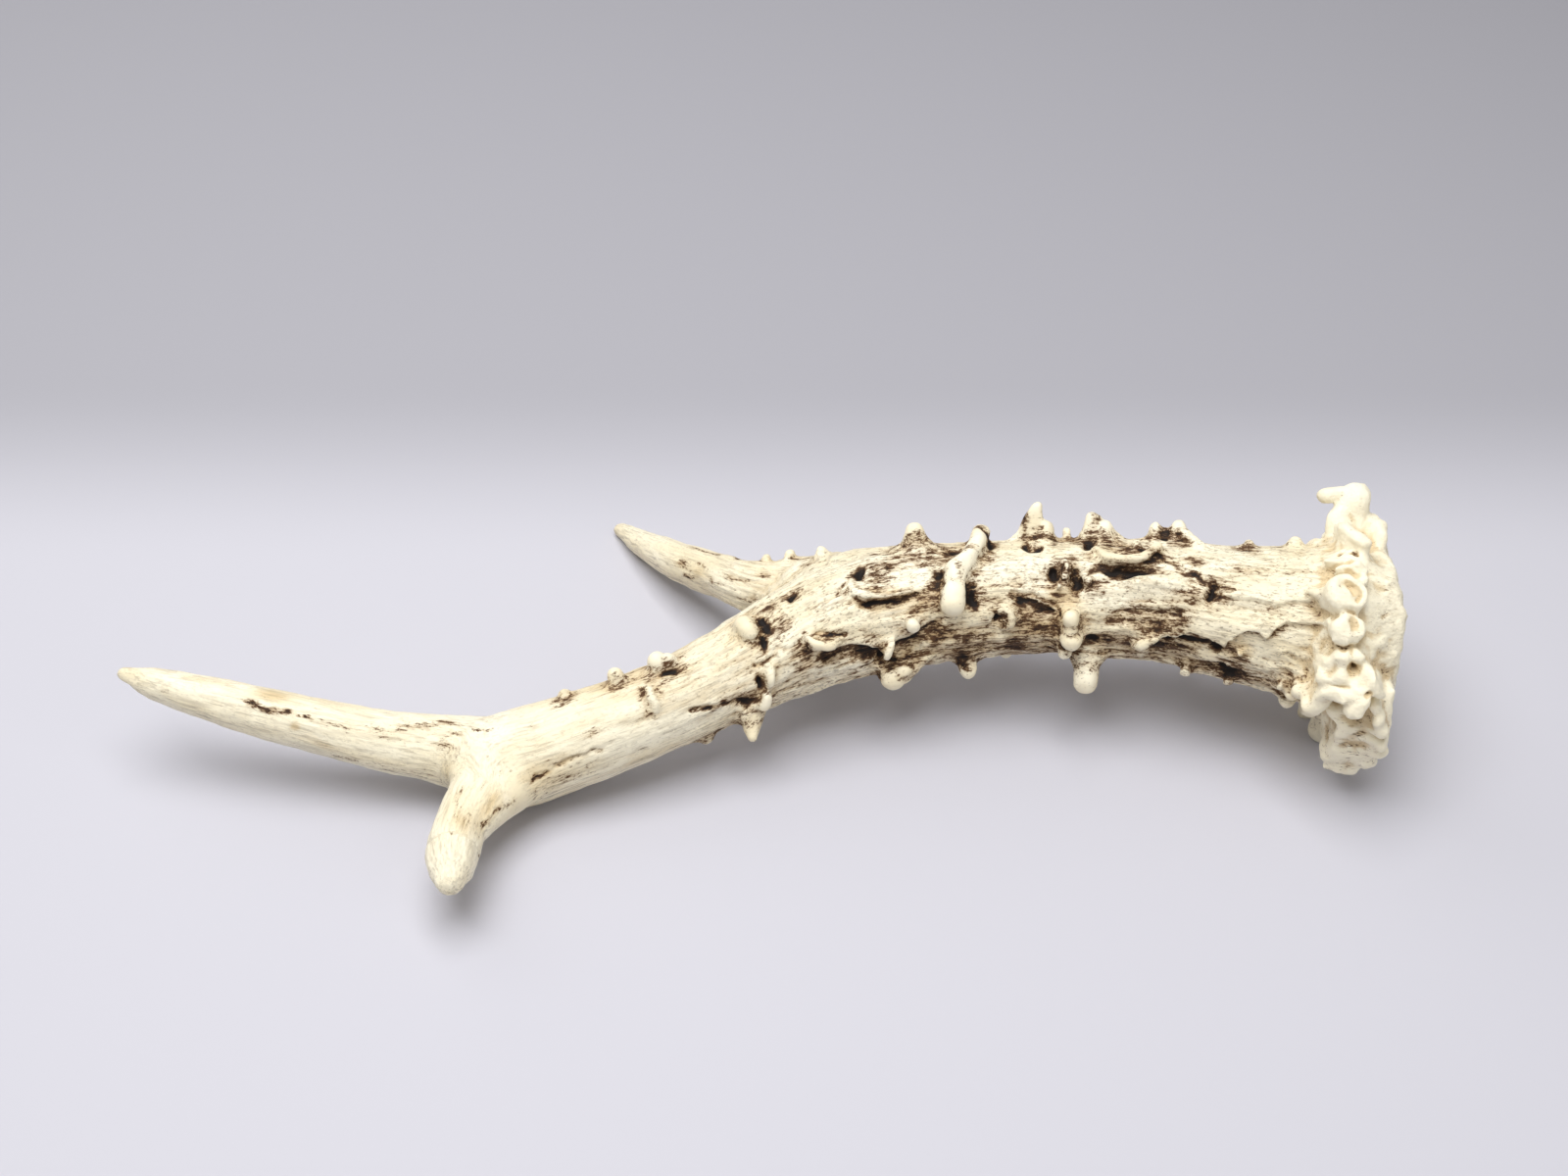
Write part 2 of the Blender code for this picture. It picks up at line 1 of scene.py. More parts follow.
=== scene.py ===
"""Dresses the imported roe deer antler: one skin of weathered bone, a pale floor, soft light and a camera.

Laid out as an add-on and run as a script. The antler's tables are in millimetres, in the frame of its
own axes, and MM turns them into metres. A place on a limb is a station, the distance along its axis,
and an angle around it in degrees: 0 is up, 90 faces -Y, 180 is down.
"""

import math
import random
from collections import namedtuple
from itertools import cycle

import bmesh
import bpy
import numpy as np
from bpy.props import FloatProperty, FloatVectorProperty, IntProperty, PointerProperty
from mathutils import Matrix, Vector, noise


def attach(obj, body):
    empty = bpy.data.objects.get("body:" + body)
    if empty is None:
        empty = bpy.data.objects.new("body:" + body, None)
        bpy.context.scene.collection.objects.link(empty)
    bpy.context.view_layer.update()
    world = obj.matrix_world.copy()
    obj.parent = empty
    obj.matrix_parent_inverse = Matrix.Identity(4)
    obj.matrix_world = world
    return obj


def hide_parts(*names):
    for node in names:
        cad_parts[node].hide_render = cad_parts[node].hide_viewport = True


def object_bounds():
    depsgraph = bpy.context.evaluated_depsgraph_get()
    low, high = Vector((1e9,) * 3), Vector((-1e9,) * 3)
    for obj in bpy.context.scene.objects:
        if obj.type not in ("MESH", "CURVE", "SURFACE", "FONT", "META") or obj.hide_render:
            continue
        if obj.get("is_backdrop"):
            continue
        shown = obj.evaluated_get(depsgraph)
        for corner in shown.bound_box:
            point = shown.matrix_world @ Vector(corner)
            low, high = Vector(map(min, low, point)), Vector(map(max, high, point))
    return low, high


bl_info = {
    "name": "Deer antler",
    "version": (1, 0, 0),
    "blender": (4, 5, 0),
    "location": "3D View > Sidebar > Antler",
    "description": "Grows a cast roe deer antler with its pearls, grain and stains",
    "category": "Object",
}

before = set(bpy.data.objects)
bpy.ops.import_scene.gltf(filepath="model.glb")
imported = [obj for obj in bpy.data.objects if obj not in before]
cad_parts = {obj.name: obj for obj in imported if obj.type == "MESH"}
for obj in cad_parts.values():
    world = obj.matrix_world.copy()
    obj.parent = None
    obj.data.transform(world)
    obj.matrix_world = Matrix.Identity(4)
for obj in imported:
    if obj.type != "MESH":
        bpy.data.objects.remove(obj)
CAD_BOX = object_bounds()
NODES = tuple(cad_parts)

MM = 0.001

# Axes of the limbs: x, y, z and radius. +X runs towards the coronet.
BEAM = (
    (109, -5, 24.8, 12.5), (100, -5, 25.2, 13.8), (92, -4, 25.2, 13.6), (80, -1.5, 25.2, 12.1),
    (66, 3, 24, 11), (45, 5.5, 22.5, 10.4), (25, 4.5, 21.5, 10.8), (10, 1.5, 20, 11),
    (-4, -5.2, 17.6, 9.1), (-18, -12.4, 14.5, 8.1), (-34, -18.4, 11.4, 8.4), (-48, -22, 8.5, 8.9),
)
TOP_TINE = (
    (-34, -18.4, 11.4, 8.2), (-48, -22, 8.6, 8.5), (-60, -20.3, 9.7, 6.3), (-72, -19.6, 11.6, 5.4),
    (-86, -18.1, 14.8, 4.8), (-100, -15.8, 17.6, 4), (-110, -13.7, 19.3, 2.9), (-116, -11.8, 19.9, 1.4),
)
FRONT_TINE = (
    (27, 8, 21.5, 7.4), (10, 9, 19.6, 7.3), (-4, 13.8, 16.8, 5.3), (-12, 22.2, 12.6, 4.4),
    (-20, 31, 8.5, 3.9), (-28, 41.6, 4.2, 2.7), (-33, 49, 1.2, 1.6),
)
REAR_TINE = (
    (-44, -18, 9, 5.5), (-50, -25, 9, 6.4), (-53.2, -31.5, 9.4, 5.2), (-54.8, -38, 10.2, 4.6),
    (-55.4, -45, 11.2, 4.6), (-55.2, -50, 11.9, 3.8), (-55, -52.4, 12.2, 2.6),
)
# The webs of bone that round the crotches between the beam and the front and rear tines, and the
# shoulder that carries the front one into the beam.
FRONT_WEB = ((26, 7.4, 22, 8), (15, 9.6, 21, 7.4), (6, 12, 19, 6.2), (-4, 15.2, 16.2, 4.8))
FRONT_SHOULDER = ((32, 6.4, 22, 9.6), (18, 6.2, 21.2, 9.7), (9, 7.0, 20.0, 8.7), (4, 8.6, 19.0, 7.0))
REAR_WEB = (
    (-28, -17, 12.2, 5.2), (-41.5, -23.4, 9.4, 5.4), (-48.5, -30, 9.2, 4.6), (-53.6, -39, 10.2, 3.6),
)
BASE_FACE = 2.9  # station of the cast face
BASE_EDGE = 1.6  # rounding between the cast face and the side of the base

# Pearls, the bony beads of the beam: height, radius at the root and at the tip, and how far the tip
# leans towards higher stations.
Pearl = namedtuple("Pearl", "station angle height root tip lean", defaults=(0.0,))
BEAM_PEARLS = (
    Pearl(20.5, -38, 1.8, 2.4, 1.5), Pearl(28.5, -35, 1.0, 1.8, 1.0), Pearl(27.4, 84, 1.4, 1.2, 1.0),
    Pearl(44.2, -37, 3.2, 2.2, 1.3), Pearl(40.8, -36, 3.8, 2.2, 1.4), Pearl(47, -14, 1.2, 2.0, 1.3),
    Pearl(54.8, -38, 5.2, 3.2, 1.5), Pearl(52.6, -34, 3.4, 2.6, 1.4), Pearl(59.2, -41, 2.2, 1.1, 0.9),
    Pearl(63.0, -35, 3.6, 2.8, 1.6), Pearl(60.6, 38, 1.5, 0.9, 0.6), Pearl(55.6, 33, 1.5, 1.4, 0.9),
    Pearl(58.6, 66, 3.3, 2.1, 1.6), Pearl(58.5, 76, 3.0, 1.7, 1.4), Pearl(58.4, 86, 4.0, 2.5, 2.0),
    Pearl(59.6, 104, 2.6, 2.0, 1.5), Pearl(55.4, 120, 7.4, 3.6, 2.2),
    Pearl(74.4, -30, 3.4, 2.6, 1.4, -0.6), Pearl(78.4, 124, 3.7, 2.8, 1.6),
    Pearl(85.3, -30, 4.6, 4.2, 1.7), Pearl(88.6, 62, 2.4, 2.3, 1.5), Pearl(92.6, 2, 1.2, 2.6, 1.8),
    Pearl(94.0, 114, 4.2, 3.2, 2.4), Pearl(91.8, 109, 3.0, 3.0, 2.0),
    Pearl(123.6, 112, 4.8, 3.4, 0.9, 1.8), Pearl(134.6, -15, 2.9, 3.0, 1.9),
    Pearl(132.6, -11, 2.2, 2.4, 1.3), Pearl(142.4, -20, 2.7, 2.3, 1.4), Pearl(152, -30, 1.2, 2.4, 1.5),
    Pearl(131.5, 135, 1.2, 3.2, 2.0), Pearl(18.5, 128, 2.2, 2.8, 1.8), Pearl(14.5, 138, 2.8, 2.8, 1.8),
    Pearl(28.4, 118, 1.4, 1.8, 1.1), Pearl(35.6, 122, 1.6, 1.6, 1.1),
)
FRONT_PEARLS = (
    Pearl(20.4, -37, 2.4, 2.0, 1.3), Pearl(27.2, -39, 2.1, 1.9, 1.2), Pearl(32.6, -40, 1.5, 1.8, 1.1),
)

# Pearls of the far side and the underside, scattered by a rule: stations, angles, spacing, heights.
FAR_STATIONS = (20, 112)
FAR_ANGLES = (172, 268)
FAR_SPACING = 4.0
FAR_HEIGHTS = (1.4, 4.6)
FAR_TRIES = 900
FAR_ARC = 0.19  # millimetres of beam surface to a degree
FAR_ROOT = (1.5, 0.28)  # radius of the root of a flat pearl, and what each millimetre of height adds
FAR_TIP = (0.9, 0.14)  # the same for the tip
SEED = 7

# Ridges, ropes and long lobes: station, angle, height and half width along the crest.
BEAM_RIDGES = (
    # the trunk: a hooked rope that ends in a free bulb
    ((74.2, -28, 3.6, 1.6), (75.2, -12, 3.2, 1.6), (77.2, 5, 2.7, 1.7), (79.8, 20, 3.0, 2.2),
     (80.4, 34, 2.8, 2.0),
     (81.2, 48, 4.0, 2.3)),
    # the white crescent
    ((109.8, 42, 0.8, 0.6), (109.5, 49, 1.8, 1.0), (108.4, 55, 2.2, 1.2), (106.6, 60, 1.9, 1.0),
     (104.8, 61, 0.7, 0.6)),
    # the bent lip beyond the trunk
    ((98.3, 9, 0.5, 0.7), (98.5, 20, 1.3, 0.95), (96.4, 29, 1.5, 1.0), (92, 33, 1.1, 0.9),
     (85.6, 29, 0.3, 0.7)),
    # the long ledge, and the lobe of its upper end
    ((54.2, -8, 1.0, 0.9), (52.4, 8, 1.7, 0.9), (49.2, 13, 2.2, 1.0), (45.4, 8, 2.2, 1.0),
     (43.2, -6, 1.8, 1.0)),
    # the saddle-shaped knob, the broad fin and the foot of the pearl beyond the trunk
    ((53.0, -36, 3.4, 1.2), (51.4, -36, 1.8, 1.1), (50.0, -38, 0.6, 1.0)),
    ((68.6, -41, 0.6, 0.9), (67.0, -38, 2.2, 1.1), (65.8, -36, 4.6, 1.2), (64.4, -35, 7.0, 1.2)),
    ((93.2, 74, 0.9, 0.9), (94.2, 81, 1.9, 1.0), (95.0, 88, 2.0, 0.9)),
    ((92, 117, 3.4, 1.7), (88.8, 111, 2.0, 1.4), (85.4, 104, 0.6, 1.2)),
    ((72.4, 59, 0.5, 0.6), (71.2, 59, 1.2, 0.75), (70.0, 66, 1.7, 0.9), (70.4, 74, 1.6, 0.85),
     (71.6, 79, 0.7, 0.6)),
    ((59.7, 12, 0.7, 0.6), (59.5, 19, 1.5, 0.6), (59.8, 29, 1.2, 0.6)),
    ((46.8, 94, 1.2, 0.7), (45, 91, 2.1, 1.3), (43, 86, 1.6, 1.0), (41, 81, 0.5, 0.6)),
    ((40.8, -36, 3.2, 1.1), (42.6, -39, 2.7, 1.1), (44.4, -37, 2.8, 1.1)),
    ((40.4, -34, 3.0, 1.0), (38.6, -27, 1.9, 0.9), (36.2, -18, 0.8, 0.8)),
    # the bulge over the first fork, with the lips and the spur below it
    ((118.2, -7, 1.6, 1.7), (118.1, 3, 2.5, 1.9), (117.9, 13, 1.7, 1.6), (117.6, 21, 0.5, 1.1)),
    ((118.0, 48, 0.4, 0.5), (118.1, 57, 1.5, 0.7), (118.7, 67, 1.9, 0.8), (119.4, 74, 1.2, 0.6)),
    ((119.8, 76, 0.9, 0.7), (120.6, 85, 2.2, 1.0), (121.4, 92, 2.2, 1.1)),
    ((138.8, 8, 0.4, 0.7), (138.1, 17, 1.0, 0.8), (138.3, 27, 1.1, 0.8), (138.0, 36, 1.1, 0.8),
     (138.5, 43, 0.6, 0.7)),
    # the swelling above the bright beam
    ((38.6, 30, 1.2, 2.4), (43, 31, 1.0, 2.4), (48, 31, 0.6, 2.2)),
)

# Shelves: sheets of bone whose lower edge runs along a few points of station and angle. Below the
# edge the skin lies this deep, and comes back to the surface over this reach. The third column is how
# dark the band just under the edge is painted: painted shadow of an overhang that the skin lacks.
Shelf = namedtuple("Shelf", "depth reach dirt edge")
SHELVES = (
    Shelf(1.0, 12, 0.05,
          ((14, 48), (18.4, 49), (21.2, 50), (22.6, 56), (23.8, 66), (24.8, 62), (26.6, 61), (28, 66),
           (28.8, 72), (29.6, 83), (30.6, 80), (32.2, 75), (35, 72), (37, 79), (41, 84), (45, 93))),
    Shelf(0.7, 5, 0.05, ((14.5, 28), (20.4, 33), (22.8, 36), (23.4, 39), (24, 35), (28.6, 34), (32, 35))),
    Shelf(0.6, 4, 0.45, ((35, 50), (38.8, 53), (44.4, 56), (48, 57), (53, 60))),
    Shelf(0.8, 5, 0.7, ((59.6, 68), (62.4, 56), (65.2, 50), (68.4, 45), (71, 42))),
    Shelf(1.0, 5, 0.7,
          ((82, 57), (85.2, 62), (87.2, 68), (89.8, 78), (92.4, 80), (93.8, 88), (95.6, 91), (96.8, 80),
           (98.4, 72), (104.4, 65), (107.4, 62), (110, 52))),
    Shelf(0.9, 3, 0.9, ((88, 34), (91, 35), (94, 35), (97, 31), (99, 24))),
)

# Pits and undercuts beside the pearls: depth, radius along the limb and around it, and height of the
# middle above the round surface. The old dirt in them is nearly black.
Pit = namedtuple("Pit", "station angle depth along around height", defaults=(0.0,))
BEAM_PITS = (
    Pit(42.4, -33, 1.2, 1.4, 1.2), Pit(48.8, 21, 1.5, 4.4, 1.0), Pit(32.4, 35, 1.9, 1.1, 1.9),
    Pit(61.8, 20, 2.0, 1.4, 1.4), Pit(57.4, 33, 2.0, 1.4, 1.5), Pit(55.2, -18, 1.3, 1.0, 1.7),
    Pit(66.4, -18, 1.2, 1.1, 0.9), Pit(64.8, -13, 1.0, 1.0, 0.8), Pit(73.2, -20, 1.6, 1.2, 1.8),
    Pit(79.0, -12, 1.2, 1.9, 1.1), Pit(82.8, 21, 0.9, 1.0, 1.8), Pit(77.4, 45, 0.9, 0.8, 1.8),
    Pit(72.6, 67, 0.9, 0.8, 1.0), Pit(96.2, 3, 1.0, 1.1, 1.3), Pit(95.2, 95, 1.7, 1.2, 1.2, 2.6),
    Pit(78.9, 118, 0.9, 0.8, 0.7), Pit(108.4, -5, 1.1, 1.1, 1.0), Pit(115.2, 8, 0.8, 1.1, 2.2),
    Pit(116.8, 26, 0.8, 0.7, 1.6), Pit(120.2, 67, 0.9, 0.7, 1.5), Pit(123.8, 83, 0.9, 1.8, 1.0),
    Pit(133.4, 2, 0.8, 2.0, 0.8), Pit(54.2, 94, 0.8, 1.2, 1.4), Pit(30, 112, 0.9, 3.2, 1.0),
    Pit(31, 85, 0.7, 1.4, 1.2), Pit(54.4, -37, 1.0, 0.7, 0.9, 4.0),
)
# Hollows of the coronet, which hold only a little brown: inside the two curls, in the crevices between
# the knobs, and the dished face of the fan.
CORONET_PITS = (
    Pit(13.2, -7, 1.1, 0.8, 0.7, 3.2), Pit(10.8, -3.5, 1.1, 0.8, 0.7, 3.4),
    Pit(12.6, 10, 0.8, 1.3, 0.4, 3.8), Pit(12.3, 27, 0.7, 0.6, 0.8, 5.0),
    Pit(11.6, 31.5, 0.7, 0.4, 1.1, 5.0), Pit(12.4, 41, 1.2, 1.2, 0.5, 4.0),
    Pit(11.7, 47, 0.4, 0.5, 0.7, 5.2), Pit(12.8, 59.4, 1.3, 1.5, 0.6, 4.0),
    Pit(9.8, 78.4, 1.1, 0.6, 0.5, 7.6), Pit(12.6, 78.6, 0.7, 1.5, 0.4, 6.8),
    Pit(10.4, 101, 1.2, 1.6, 0.8, 7.4), Pit(10.0, 118, 1.4, 2.6, 2.6, 9.4),
)
SHELF_LIP = 0.7  # width of the drop at a shelf's edge
SHELF_SHADOW_WIDTH = 0.8  # width of the painted shadow just below it
SHELF_FLAT = 0.3  # share of its reach over which the skin below a shelf keeps its depth
SHELF_FADE = 3.0  # length over which a shelf fades out at its ends
PIT_REACH = 4.0  # how far below the surface a pit still moves the skin
PIT_STAIN = 1.1  # how much wider than the pit its dirt spreads
WANDER = 0.8  # how far ragged outlines stray
WANDER_SIZE = 2.2  # size of their bends

# The coronet, the knobby ring above the cast base, with the same columns as the beam's pearls.
CORONET_STATION = 11.0
COLLAR = (2.4, 3.6)  # height of the swelling that carries the knobs, and its width along the beam
COLLAR_STATIONS = (3.9, 20.0)
COLLAR_SINK = 0.2  # how far below its own height the collar is set, so that its ends sink in
CORONET_BEADS = 60  # small beads strewn over the far side by rule
BEAD_RADII = (0.8, 1.5)
BEAD_RISE = 0.7  # how far a bead's top stands above the collar, in radii
BEAD_STATIONS = (8.5, 14.5)
BEAD_ANGLES = (140, 310)
CORONET_PEARLS = (
    Pearl(10.4, -47, 11.0, 3.0, 2.3, -0.4), Pearl(9.4, -46, 11.9, 2.8, 2.7, -0.6),
    Pearl(11.6, -45, 7.6, 3.8, 2.7, 0.2), Pearl(15.8, -42, 1.4, 3.4, 2.2),
    Pearl(5.6, -47, 6.6, 2.4, 1.6, -0.4), Pearl(4.8, -42, 6.0, 2.2, 1.5, -0.4),
    Pearl(4.8, -36, 4.4, 1.8, 1.2, -0.2), Pearl(10.7, 21, 4.8, 1.5, 1.0),
    Pearl(12.9, 30.5, 5.4, 1.9, 1.6), Pearl(12.0, 37, 5.4, 1.8, 1.5), Pearl(12.0, 50.5, 5.4, 1.9, 1.5),
    Pearl(13.4, 50, 6.0, 2.0, 1.5), Pearl(12.2, 55.5, 5.8, 1.6, 1.2), Pearl(12.8, 66, 6.8, 2.2, 1.8),
    Pearl(10.8, 64.5, 6.4, 1.8, 1.4), Pearl(14.6, 78, 5.8, 2.0, 1.6), Pearl(12.6, 74, 7.2, 1.8, 1.5),
    Pearl(9.6, 72, 7.6, 1.6, 1.2), Pearl(11.0, 77, 7.6, 1.5, 1.2), Pearl(14.2, 70, 4.6, 1.6, 1.2),
    Pearl(8.0, 90, 7.8, 1.9, 1.2), Pearl(7.2, 95, 9.2, 2.0, 1.2), Pearl(6.8, 101, 9.8, 2.0, 1.3),
    Pearl(15.4, 96, 6.6, 2.6, 1.6, 0.8), Pearl(16.8, 98, 3.6, 2.6, 1.5, 0.6),
    Pearl(18.4, 108, 2.4, 2.2, 1.3), Pearl(20.4, 103, 1.6, 1.8, 1.1),
    Pearl(10.8, 133, 10.6, 2.6, 1.8, 0.6), Pearl(10.2, 136, 12.0, 3.0, 1.9),
    Pearl(8.0, 137, 12.4, 3.0, 1.9), Pearl(6.0, 131, 11.8, 2.8, 1.9), Pearl(5.6, 121, 10.8, 2.4, 1.7),
    Pearl(5.8, 111, 10.4, 2.2, 1.4),
)
# The fan below: how high its face stands at each angle, and the stations of the flutes it grew in.
FAN_FACE = ((92, 4.0), (102, 6.8), (112, 8.4), (123, 9.8), (132, 10.8))
FAN_STATIONS = (10.6, 9.7, 8.8, 7.9, 7.0, 6.0)
FAN_FLUTE = 1.7  # half width of a flute
CORONET_RIDGES = (
    # the oval pearl and the folds of the yellow crevice
    ((13.6, -27, 4.8, 0.7), (12.6, -23, 5.6, 1.0), (11.4, -17, 5.2, 1.1), (10.1, -12, 4.8, 1.3),
     (9.3, -9, 4.2, 1.2)),
    ((14.6, 5.5, 3.0, 0.6), (12.8, 8, 3.8, 0.7), (11.4, 11, 4.2, 0.8), (10.4, 15, 4.2, 0.8)),
    ((13.9, 13.5, 3.6, 0.6), (12.5, 12.4, 4.1, 0.7), (11.4, 15.5, 4.2, 0.6)),
    # the ear: its thick wall and its thin rim, with the nub beside it
    ((13.6, 22.5, 5.2, 1.0), (14.7, 26.5, 5.9, 1.4), (14.8, 31, 6.1, 1.6), (14.1, 35, 6.0, 1.5),
     (12.9, 38, 5.8, 1.4)),
    ((13.8, 22.4, 5.2, 0.8), (12.5, 22, 5.6, 0.75), (11.3, 25.5, 5.4, 0.65), (10.8, 30.5, 5.1, 0.65),
     (11.1, 35.5, 5.0, 0.75), (11.9, 38, 5.2, 1.0)),
    ((18.4, 27, 1.0, 0.6), (17.0, 28.2, 2.6, 0.8), (15.8, 29.6, 4.0, 1.0)),
    # the second curl
    ((12.8, 45, 5.2, 1.0), (13.7, 49, 6.0, 1.4), (13.3, 53.5, 6.2, 1.4), (12.2, 56, 6.1, 1.25),
     (11.0, 53.5, 5.6, 0.95)),
    ((11.9, 43.6, 4.8, 0.7), (10.8, 45.4, 5.2, 0.75), (10.5, 48.6, 4.8, 0.7)),
    # the sausage, the oval bead, the bulb, the lobe towards the beam, and the crest across the fan
    ((14.4, 86, 6.8, 1.1), (12.6, 82.4, 8.4, 1.25), (10.8, 78.6, 8.8, 1.0)),
    ((9.4, 74.6, 8.2, 0.9), (8.4, 77.6, 8.9, 1.15), (7.8, 80, 8.6, 0.95)),
    ((9.8, 79.6, 8.6, 1.0), (10.1, 83, 9.8, 1.3), (10.7, 87, 10.2, 1.45)),
    ((13.8, 88, 6.0, 1.5), (14.6, 92.5, 6.6, 1.7), (15.4, 97, 6.8, 1.6)),
    ((13.0, 100, 5.0, 0.8), (11.4, 104, 6.8, 0.85), (9.8, 107, 7.8, 0.85), (8.0, 109, 8.8, 0.85),
     (5.8, 110, 9.4, 0.9)),
)
# The nub that overhangs on the beam's side of the T-shaped knob.
OVERHANG = ((9.6, -46, 10.8, 1.8), (13.0, -46, 10.7, 1.5), (15.9, -46, 10.5, 1.35))
CORONET_FAR_ANGLES = (150, 170, 188, 206, 224, 243, 262, 281)
CORONET_FAR_HEIGHTS = (11.8, 11.2, 12.2, 9.4, 10.6, 8.2, 9.6, 7.6)
# The knobs of the far side, each with a lower one beside it: radius at the root and at the tip, and
# stations, which take turns, counted from the coronet's middle.
FAR_KNOB = (3.4, 2.3)
FAR_KNOB_STATIONS = (-1.5, -0.5, 0.5)
LOW_KNOB = (2.6, 1.7)
LOW_KNOB_STATIONS = (-4.5, -4, 3.5)
LOW_KNOB_TURN = 9  # degrees round from its taller neighbour
LOW_KNOB_SHARE = 0.55  # of its neighbour's height
CORONET_END = 17.0  # station where the coronet's roots run out into the beam

# Grooves, cut along a few points of station and angle: half width, depth and how dark it is painted,
# which is dirt in a crack and painted shadow where a groove runs under a lip.
Groove = namedtuple("Groove", "half_width depth dirt path")
GROOVES = (
    Groove(0.8, 0.7, 1.0, ((78.6, 34), (78.8, 44), (79.6, 54))),
    Groove(0.5, 0.5, 1.0, ((69.5, 43), (66, 46), (63, 53), (60.5, 63))),
    Groove(0.45, 0.5, 1.0, ((107.8, 43), (106.4, 49), (104.2, 56), (102.6, 58))),
    Groove(0.5, 0.5, 0.9, ((133, 62), (128, 69), (124.5, 80))),
    Groove(0.45, 0.5, 0.75, ((147, 63), (151.8, 63), (155.2, 65), (158.2, 68), (161, 72), (164.4, 82))),
    Groove(0.6, 0.5, 0.9, ((46, -4), (43, 4), (38, 16), (33, 26), (30, 28))),
    Groove(0.6, 0.5, 0.9, ((40, 85), (36, 82), (33, 82), (31, 86))),
    Groove(0.5, 0.5, 0.4, ((20, 77), (17.6, 83), (15.8, 91))),
    Groove(0.5, 0.4, 0.3, ((24, 88), (19, 92), (16, 98))),
    Groove(0.4, 0.3, 0.5, ((103, 20), (99, 8), (97, -4))),
    Groove(0.5, 0.4, 0.6, ((120, 46), (113, 44), (110, 40))),
    Groove(0.5, 0.4, 0.8, ((98, 36), (93, 37), (87, 37))),
)

# Dirt and age that are only colour: station, angle, radius along and around, strength and height.
Stain = namedtuple("Stain", "station angle along around strength height", defaults=(0.0,))
BEAM_STAINS = (
    Stain(42.4, -34, 2.2, 2.0, 0.8), Stain(44.6, 6, 3.0, 3.0, 0.6), Stain(39, -14, 2.2, 1.6, 0.5),
    Stain(36.6, 4, 2.0, 1.8, 0.55), Stain(35.4, 40, 4.2, 2.0, 0.75), Stain(32, 38, 2.6, 2.2, 0.75),
    Stain(28.2, 10, 2.4, 1.2, 0.5), Stain(28, -18, 1.6, 1.2, 0.35), Stain(49, 21, 5.6, 1.8, 0.8),
    Stain(60, 24, 3.2, 3.4, 0.7), Stain(56, 36, 2.4, 2.4, 0.6), Stain(55.4, -18, 2.0, 2.6, 0.7),
    Stain(48.4, -8, 2.6, 1.8, 0.5), Stain(65.8, -16, 2.4, 1.8, 0.6), Stain(63.6, -26, 2.4, 2.4, 0.35),
    Stain(73.4, -20, 2.0, 3.0, 0.7), Stain(79.0, -12, 3.0, 1.8, 0.7), Stain(83.6, 22, 2.6, 3.4, 0.5),
    Stain(77.0, 44, 2.2, 3.4, 0.6), Stain(72.6, 66, 3.4, 2.6, 0.5), Stain(66, 58, 5.0, 2.4, 0.5),
    Stain(66, 78, 5.0, 3.0, 0.4), Stain(86.8, -24, 2.4, 2.6, 0.5), Stain(96.2, 3, 1.8, 2.0, 0.75),
    Stain(94.6, 14, 1.8, 1.6, 0.5), Stain(92, 37, 6.0, 1.4, 0.6), Stain(85, 44, 4.0, 2.0, 0.4),
    Stain(105.6, 53, 2.4, 0.6, 0.75), Stain(110.8, 56, 1.6, 2.0, 0.65), Stain(105, 71, 6.0, 2.0, 0.6),
    Stain(98.4, 84, 2.6, 3.4, 0.75), Stain(95.2, 95, 1.4, 1.4, 0.9, 2.6), Stain(84, 78, 4.6, 3.0, 0.5),
    Stain(78, 92, 5.0, 3.4, 0.45), Stain(79.4, 116, 3.0, 2.4, 0.55), Stain(108.4, -5, 2.6, 2.0, 0.62),
    Stain(112.4, -6, 2.4, 1.8, 0.6), Stain(115.2, 8, 2.0, 3.4, 0.6), Stain(112.6, 14, 2.6, 2.6, 0.45),
    Stain(116.8, 27, 1.8, 2.6, 0.6), Stain(112, 50, 2.6, 1.8, 0.5), Stain(113, 66, 2.6, 2.2, 0.35),
    Stain(120.2, 66, 1.0, 2.4, 0.5), Stain(123.6, 83, 2.8, 1.6, 0.62), Stain(133.6, 0, 3.0, 1.4, 0.65),
    Stain(139.4, 16, 1.1, 3.2, 0.5), Stain(139.2, 46, 1.4, 0.9, 0.7), Stain(141.8, -15, 1.6, 1.2, 0.6),
    Stain(149.5, 42, 2.6, 1.2, 0.5), Stain(158, 60, 4.0, 1.4, 0.3), Stain(156, 84, 8.0, 3.0, 0.35),
    Stain(29, 112, 5.0, 1.8, 0.8), Stain(42, 96, 7.0, 2.4, 0.6), Stain(40, 64, 6.0, 1.6, 0.5),
    Stain(36.4, 67, 2.0, 1.2, 0.7), Stain(52.2, 92, 2.6, 2.0, 0.6), Stain(29, 84, 1.8, 1.6, 0.4),
    Stain(34, 84, 4.0, 1.6, 0.6), Stain(61, 118, 4.0, 3.0, 0.4), Stain(70, 104, 6.0, 3.0, 0.4),
    Stain(66.6, -37, 1.0, 2.2, 1.2, 4.2), Stain(54.4, -36, 1.0, 1.4, 0.85, 4.2),
    Stain(46.6, 66, 5.0, 3.0, 0.6), Stain(40, 74, 5.0, 2.2, 0.55), Stain(28.4, 106, 3.0, 2.0, 0.7),
    Stain(37, 52, 3.0, 1.2, 0.5), Stain(33, 25, 2.6, 1.0, 0.6), Stain(128, 70, 4.0, 0.8, 0.6),
    Stain(76.8, 1, 2.6, 1.2, 0.6, 3.0), Stain(74.6, -24, 1.4, 1.2, 0.8, 3.4),
    Stain(79.4, 18, 1.4, 2.0, 0.5, 3.2), Stain(13.2, -7, 0.8, 0.6, 1.0, 3.0),
    Stain(10.8, -3.5, 0.8, 0.7, 1.1, 3.2), Stain(12.8, 58.6, 1.1, 0.5, 0.85, 4.4),
    Stain(3.6, -28, 1.0, 0.6, 0.7, 3.0),
)
